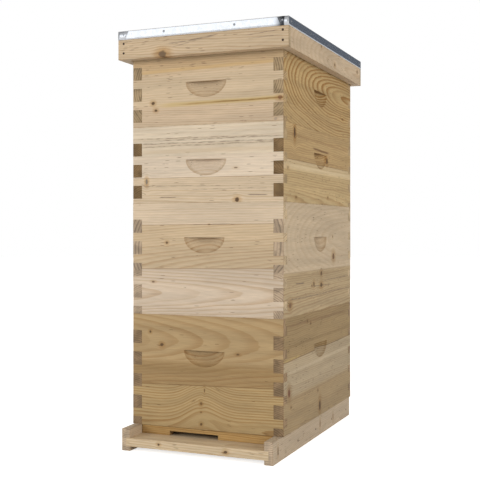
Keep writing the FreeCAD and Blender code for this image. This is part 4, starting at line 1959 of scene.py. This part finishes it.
@dataclass
class OuterCover:
    """The telescoping cover: rim, deck, folded sheet and nails.

    Attributes:
        front: The wood of the rim's front.
        side: The wood of the rim's right side.
        deck: The deck's wood.
        sheet: The folded sheet.
    """

    front: WoodFinish = WoodFinish(
        "cover_rim_front",
        planks=(Plank(0, (0.575, 0.44, 0.29), 60, 30, 0.05, 4.0, 0.6),),
        end_tone=(0.45, 0.34, 0.21),
        knots=(Knot(-90, 38, 11, 8, 0.85, 0.8, (0.13, 0.085, 0.05)),),
        streaks=(
            Streak(-80, 30, 17, -8, 2.0, GREY_BROWN, 0.85, 0.75),
            Streak(-66, 4, 24, -12, 2.0, GREY_BROWN, 0.85, 0.75),
            Streak(-30, 40, 14, -8, 1.8, DARK_LINE, 0.7, 0.7),
            Streak(100, 176, 14, -6, 1.8, DARK_LINE, 0.7, 0.7),
            Streak(110, 186, 21, -3, 1.8, GREY_BROWN, 0.7, 0.75),
        ),
        flecks=0.7,
        seed=15.0,
    )
    side: WoodFinish = WoodFinish(
        "cover_rim_right",
        planks=(Plank(0, (0.56, 0.43, 0.29), 24, 30, -0.12, 4.6, 0.35, bow=0.0002),),
        end_tone=(0.4, 0.3, 0.19),
        knots=(Knot(-58, 4, 4, 3, 0.7, 0.4), Knot(46, 28, 5, 4, 0.75, 0.5), Knot(243, 14, 4, 6, 0.85, 0.4)),
        flecks=0.35,
        seed=16.0,
    )
    deck: WoodFinish = WoodFinish(
        "cover_deck",
        planks=(Plank(0, (0.5, 0.38, 0.23), 90, 26, 0.03, 4.0, 0.5), Plank(200, (0.54, 0.42, 0.26), 260, 30)),
        end_tone=(0.36, 0.27, 0.16),
        seed=17.0,
    )
    sheet: FoldedSheet = field(default_factory=FoldedSheet)

    def build(self, effects: Effects) -> None:
        """Makes the rim, the deck, the sheet and the nails.

        Args:
            effects: The shared shader groups.
        """
        back = Sibling(25.0, -12.0, (Knot(60, 12, 6, 4, 0.8, 0.5),))
        left = Sibling(26.0, 14.0, (Knot(-120, 30, 5, 4, 0.75, 0.5),))
        Timber("cover_rim_front", Outlook.FRONT, self.front).build(effects)
        Timber("cover_rim_back", Outlook.BACK, back.sawn_from(self.front, "cover_rim_back")).build(effects)
        Timber("cover_rim_right", Outlook.RIGHT, self.side).build(effects)
        Timber("cover_rim_left", Outlook.LEFT, left.sawn_from(self.side, "cover_rim_left")).build(effects)
        Timber("cover_deck", Outlook.FLAT_LENGTHWISE, self.deck).build(effects)
        self.sheet.build(effects)
        steel = NailFinish("rim_nail_steel", (0.12, 0.09, 0.07), (0.05, 0.028, 0.017), 0.95)
        NailHeads("rim_nails", steel, proud=0.0003).build()
        NailHeads("sheet_nails", NailFinish("sheet_nail_steel", rusted=0.25)).build()


@dataclass(frozen=True)
class BoxStock:
    """The boards that a box is made from.

    Attributes:
        name: The box's name.
        front: Its front board.
        right: Its right board.
        back: How its back board differs from the front.
        left: How its left board differs from the right.
        framed: Whether its frames ride with it.
    """

    name: str
    front: WoodFinish
    right: WoodFinish
    back: Sibling
    left: Sibling
    framed: bool = True

    def box(self, number: int) -> HiveBox:
        """The box, with each board's end in the tone of the face it shows in.

        Args:
            number: Its place in the stack, which its frames' wood is drawn from.

        Returns:
            The box.
        """
        back = self.back.sawn_from(self.front, self.name + "_back")
        left = self.left.sawn_from(self.right, self.name + "_left")
        boards = {
            Outlook.FRONT: replace(self.front, end_tone=self.right.end_tone),
            Outlook.BACK: replace(back, end_tone=left.end_tone),
            Outlook.RIGHT: replace(self.right, end_tone=self.front.end_tone),
            Outlook.LEFT: replace(left, end_tone=back.end_tone),
        }
        if not self.framed:
            return HiveBox(self.name, boards)
        plank = Plank(0, (0.64, 0.5, 0.32), 40, 50, 0.02, 2.8, 0.4)
        wood = WoodFinish(self.name + "_frames", (plank,), (0.45, 0.34, 0.2), seed=50.0 + number)
        return HiveBox(self.name, boards, wood, WaxFinish(name=self.name + "_wax"))


STACK = (
    BoxStock(
        "deep_lower",
        DEEP_LOWER_FRONT,
        DEEP_LOWER_SIDE,
        Sibling(
            24.0,
            30.0,
            (
                Knot(96, 44, 5, 4, 0.8, 0.5),
                Knot(-60, 120, 3, 3, 0.8, 0.4),
                Knot(40, 214, 5, 4, 0.8, 0.5),
            ),
        ),
        Sibling(
            28.0,
            -25.0,
            (
                Knot(-130, 40, 5, 4, 0.75, 0.5),
                Knot(70, 140, 6, 8, 0.75, 0.5),
                Knot(190, 205, 5, 4, 0.75, 0.5),
            ),
        ),
    ),
    BoxStock(
        "deep_upper",
        DEEP_UPPER_FRONT,
        DEEP_UPPER_SIDE,
        Sibling(
            23.0,
            -28.0,
            (
                Knot(-70, 30, 4, 3, 0.7, 0.4),
                Knot(110, 118, 5, 4, 0.8, 0.5),
                Knot(-20, 205, 5, 4, 0.8, 0.5),
            ),
        ),
        Sibling(
            27.0,
            22.0,
            (
                Knot(-150, 60, 5, 4, 0.75, 0.5),
                Knot(120, 60, 3, 3, 0.7, 0.4),
                Knot(30, 200, 7, 6, 0.75, 0.6),
            ),
        ),
    ),
    BoxStock(
        "medium_lower",
        MEDIUM_LOWER_FRONT,
        MEDIUM_LOWER_SIDE,
        Sibling(22.0, 26.0, (Knot(-100, 90, 4, 4, 0.8, 0.5), Knot(84, 30, 3, 3, 0.7, 0.4))),
        Sibling(29.0, 24.0, (Knot(-60, 120, 6, 5, 0.8, 0.5), Knot(170, 40, 4, 6, 0.8, 0.5))),
    ),
    BoxStock(
        "medium_upper",
        MEDIUM_UPPER_FRONT,
        MEDIUM_UPPER_SIDE,
        Sibling(21.0, -22.0, (Knot(52, 140, 5, 4, 0.8, 0.5), Knot(-136, 66, 4, 3, 0.7, 0.4))),
        Sibling(30.0, 18.0, (Knot(-186, 96, 6, 5, 0.75, 0.5), Knot(96, 132, 4, 3, 0.7, 0.4))),
        framed=False,
    ),
)


# ---- the studio ----
@dataclass
class Studio:
    """The camera, the lights, the pale floor and the bright surroundings.

    Attributes:
        stand_off: How far the camera stands in front of the boxes, in metres.
        aside: How far it stands to the right.
        height: How high it is.
        turn: How far it is turned towards the hive, in degrees.
        lens: Its focal length, in millimetres.
        shift: How far its lens is shifted upwards.
        front_glow: The room's light from the front.
        back_glow: Its light from behind.
        top_glow: Its light from above.
        card: A dark card behind the hive, which the sheet's right side mirrors.
        window: A bright patch in front, which the sheet's front mirrors.
        aim: The point every lamp faces.
        white: The lamps' colour.
    """

    stand_off: float = 1.7808
    aside: float = 0.8248
    height: float = 0.4766
    turn: float = 22.7
    lens: float = 68.44
    shift: float = -0.02
    front_glow: Tone = (0.55, 0.55, 0.55)
    back_glow: Tone = (0.45, 0.45, 0.45)
    top_glow: Tone = (0.5, 0.5, 0.5)
    card: Tone = (0.11, 0.125, 0.15)
    window: Tone = (1.25, 1.27, 1.3)
    aim: tuple[float, float, float] = (0.0, 0.0, 0.45)
    white: Tone = (1.0, 0.99, 0.97)

    def camera(self) -> None:
        """Sets the camera level, to the right of the hive's middle."""
        low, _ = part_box("deep_lower_front")
        data = bpy.data.cameras.new("camera")
        data.lens = self.lens
        data.sensor_width = 36.0
        data.shift_y = self.shift
        made = bpy.data.objects.new("camera", data)
        made.location = (self.aside, low.y - self.stand_off, self.height)
        made.rotation_euler = (math.pi / 2, 0.0, math.radians(self.turn))
        bpy.context.scene.collection.objects.link(made)
        bpy.context.scene.camera = made

    def lamp(self, name: str, place: tuple, size: float, power: float) -> None:
        """Hangs a soft square lamp.

        Args:
            name: Its name.
            place: Where it hangs.
            size: The length of its side, in metres.
            power: Its power in watts.
        """
        data = bpy.data.lights.new(name, "AREA")
        data.size = size
        data.energy = power
        data.color = self.white
        made = bpy.data.objects.new(name, data)
        made.location = place
        made.visible_glossy = False
        made.rotation_euler = (Vector(self.aim) - Vector(place)).to_track_quat("-Z", "Y").to_euler()
        bpy.context.scene.collection.objects.link(made)

    def floor(self) -> None:
        """Lays the pale floor, a round sheet much wider than the view."""
        mesh = bmesh.new()
        bmesh.ops.create_circle(mesh, cap_ends=True, segments=64, radius=14.0)
        made = bpy.data.materials.new("pale_floor")
        made.use_nodes = True
        shader = made.node_tree.nodes["Principled BSDF"]
        graph = Graph(made.node_tree)
        shader.inputs["Base Color"].default_value = (0.93, 0.93, 0.93, 1.0)
        shader.inputs["Roughness"].default_value = 0.9
        shader.inputs["Emission Color"].default_value = (1.0, 1.0, 1.0, 1.0)
        eye = graph.put("ShaderNodeLightPath").outputs["Is Camera Ray"]
        graph.feed(shader.inputs["Emission Strength"], graph.maths("MULTIPLY", eye, 0.7))
        as_object(mesh, "floor", made)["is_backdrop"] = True

    def surroundings(self) -> None:
        """A white background for the eye, and a room that is dimmer behind and to the right."""
        world = bpy.data.worlds.new("room")
        bpy.context.scene.world = world
        world.use_nodes = True
        graph = Graph(world.node_tree)
        world.node_tree.nodes.clear()
        direction = graph.put("ShaderNodeTexCoord").outputs["Generated"]
        _, y, z = graph.split(direction)
        room = graph.tint(graph.rise(y, -0.7, 0.8), self.front_glow, self.back_glow)
        room = graph.tint(graph.rise(z, 0.15, 0.9), room, self.top_glow)
        patches = (
            ((0.42, 0.9, 0.12), 0.8, 0.93, self.card),
            ((-0.42, -0.9, 0.12), 0.84, 0.95, self.window),
        )
        for aim, low, high, tone in patches:
            dot = graph.put("ShaderNodeVectorMath", {0: direction, 1: aim}, operation="DOT_PRODUCT")
            room = graph.tint(graph.rise(dot.outputs["Value"], low, high), room, tone)
        eye = graph.put("ShaderNodeLightPath").outputs["Is Camera Ray"]
        colour = graph.tint(eye, room, (1.0, 1.0, 1.0))
        glow = graph.put("ShaderNodeBackground", {"Color": colour, "Strength": 1.0}).outputs[0]
        graph.put("ShaderNodeOutputWorld", {"Surface": glow})

    def build(self) -> None:
        """Sets everything up."""
        scene = bpy.context.scene
        scene.view_settings.view_transform = "Standard"
        self.camera()
        self.floor()
        self.surroundings()
        self.lamp("key", (-3.6, -5.0, 1.9), 2.0, 118.0)
        self.lamp("side", (5.2, -1.6, 1.6), 2.6, 120.0)
        self.lamp("back", (-2.6, 5.6, 2.4), 2.6, 90.0)
        LOG.info("studio set")


def main() -> None:
    """Builds the hive from the ground up, then the studio."""
    logging.basicConfig(level=logging.INFO, format="%(name)s: %(message)s")
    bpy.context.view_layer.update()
    effects = Effects()
    BottomBoard().build(effects)
    for number, stock in enumerate(STACK):
        stock.box(number).build(effects)
    LiftingFrames().build(effects)
    InnerCover().build(effects)
    OuterCover().build(effects)
    Studio().build()


if __name__ == "__main__":
    main()
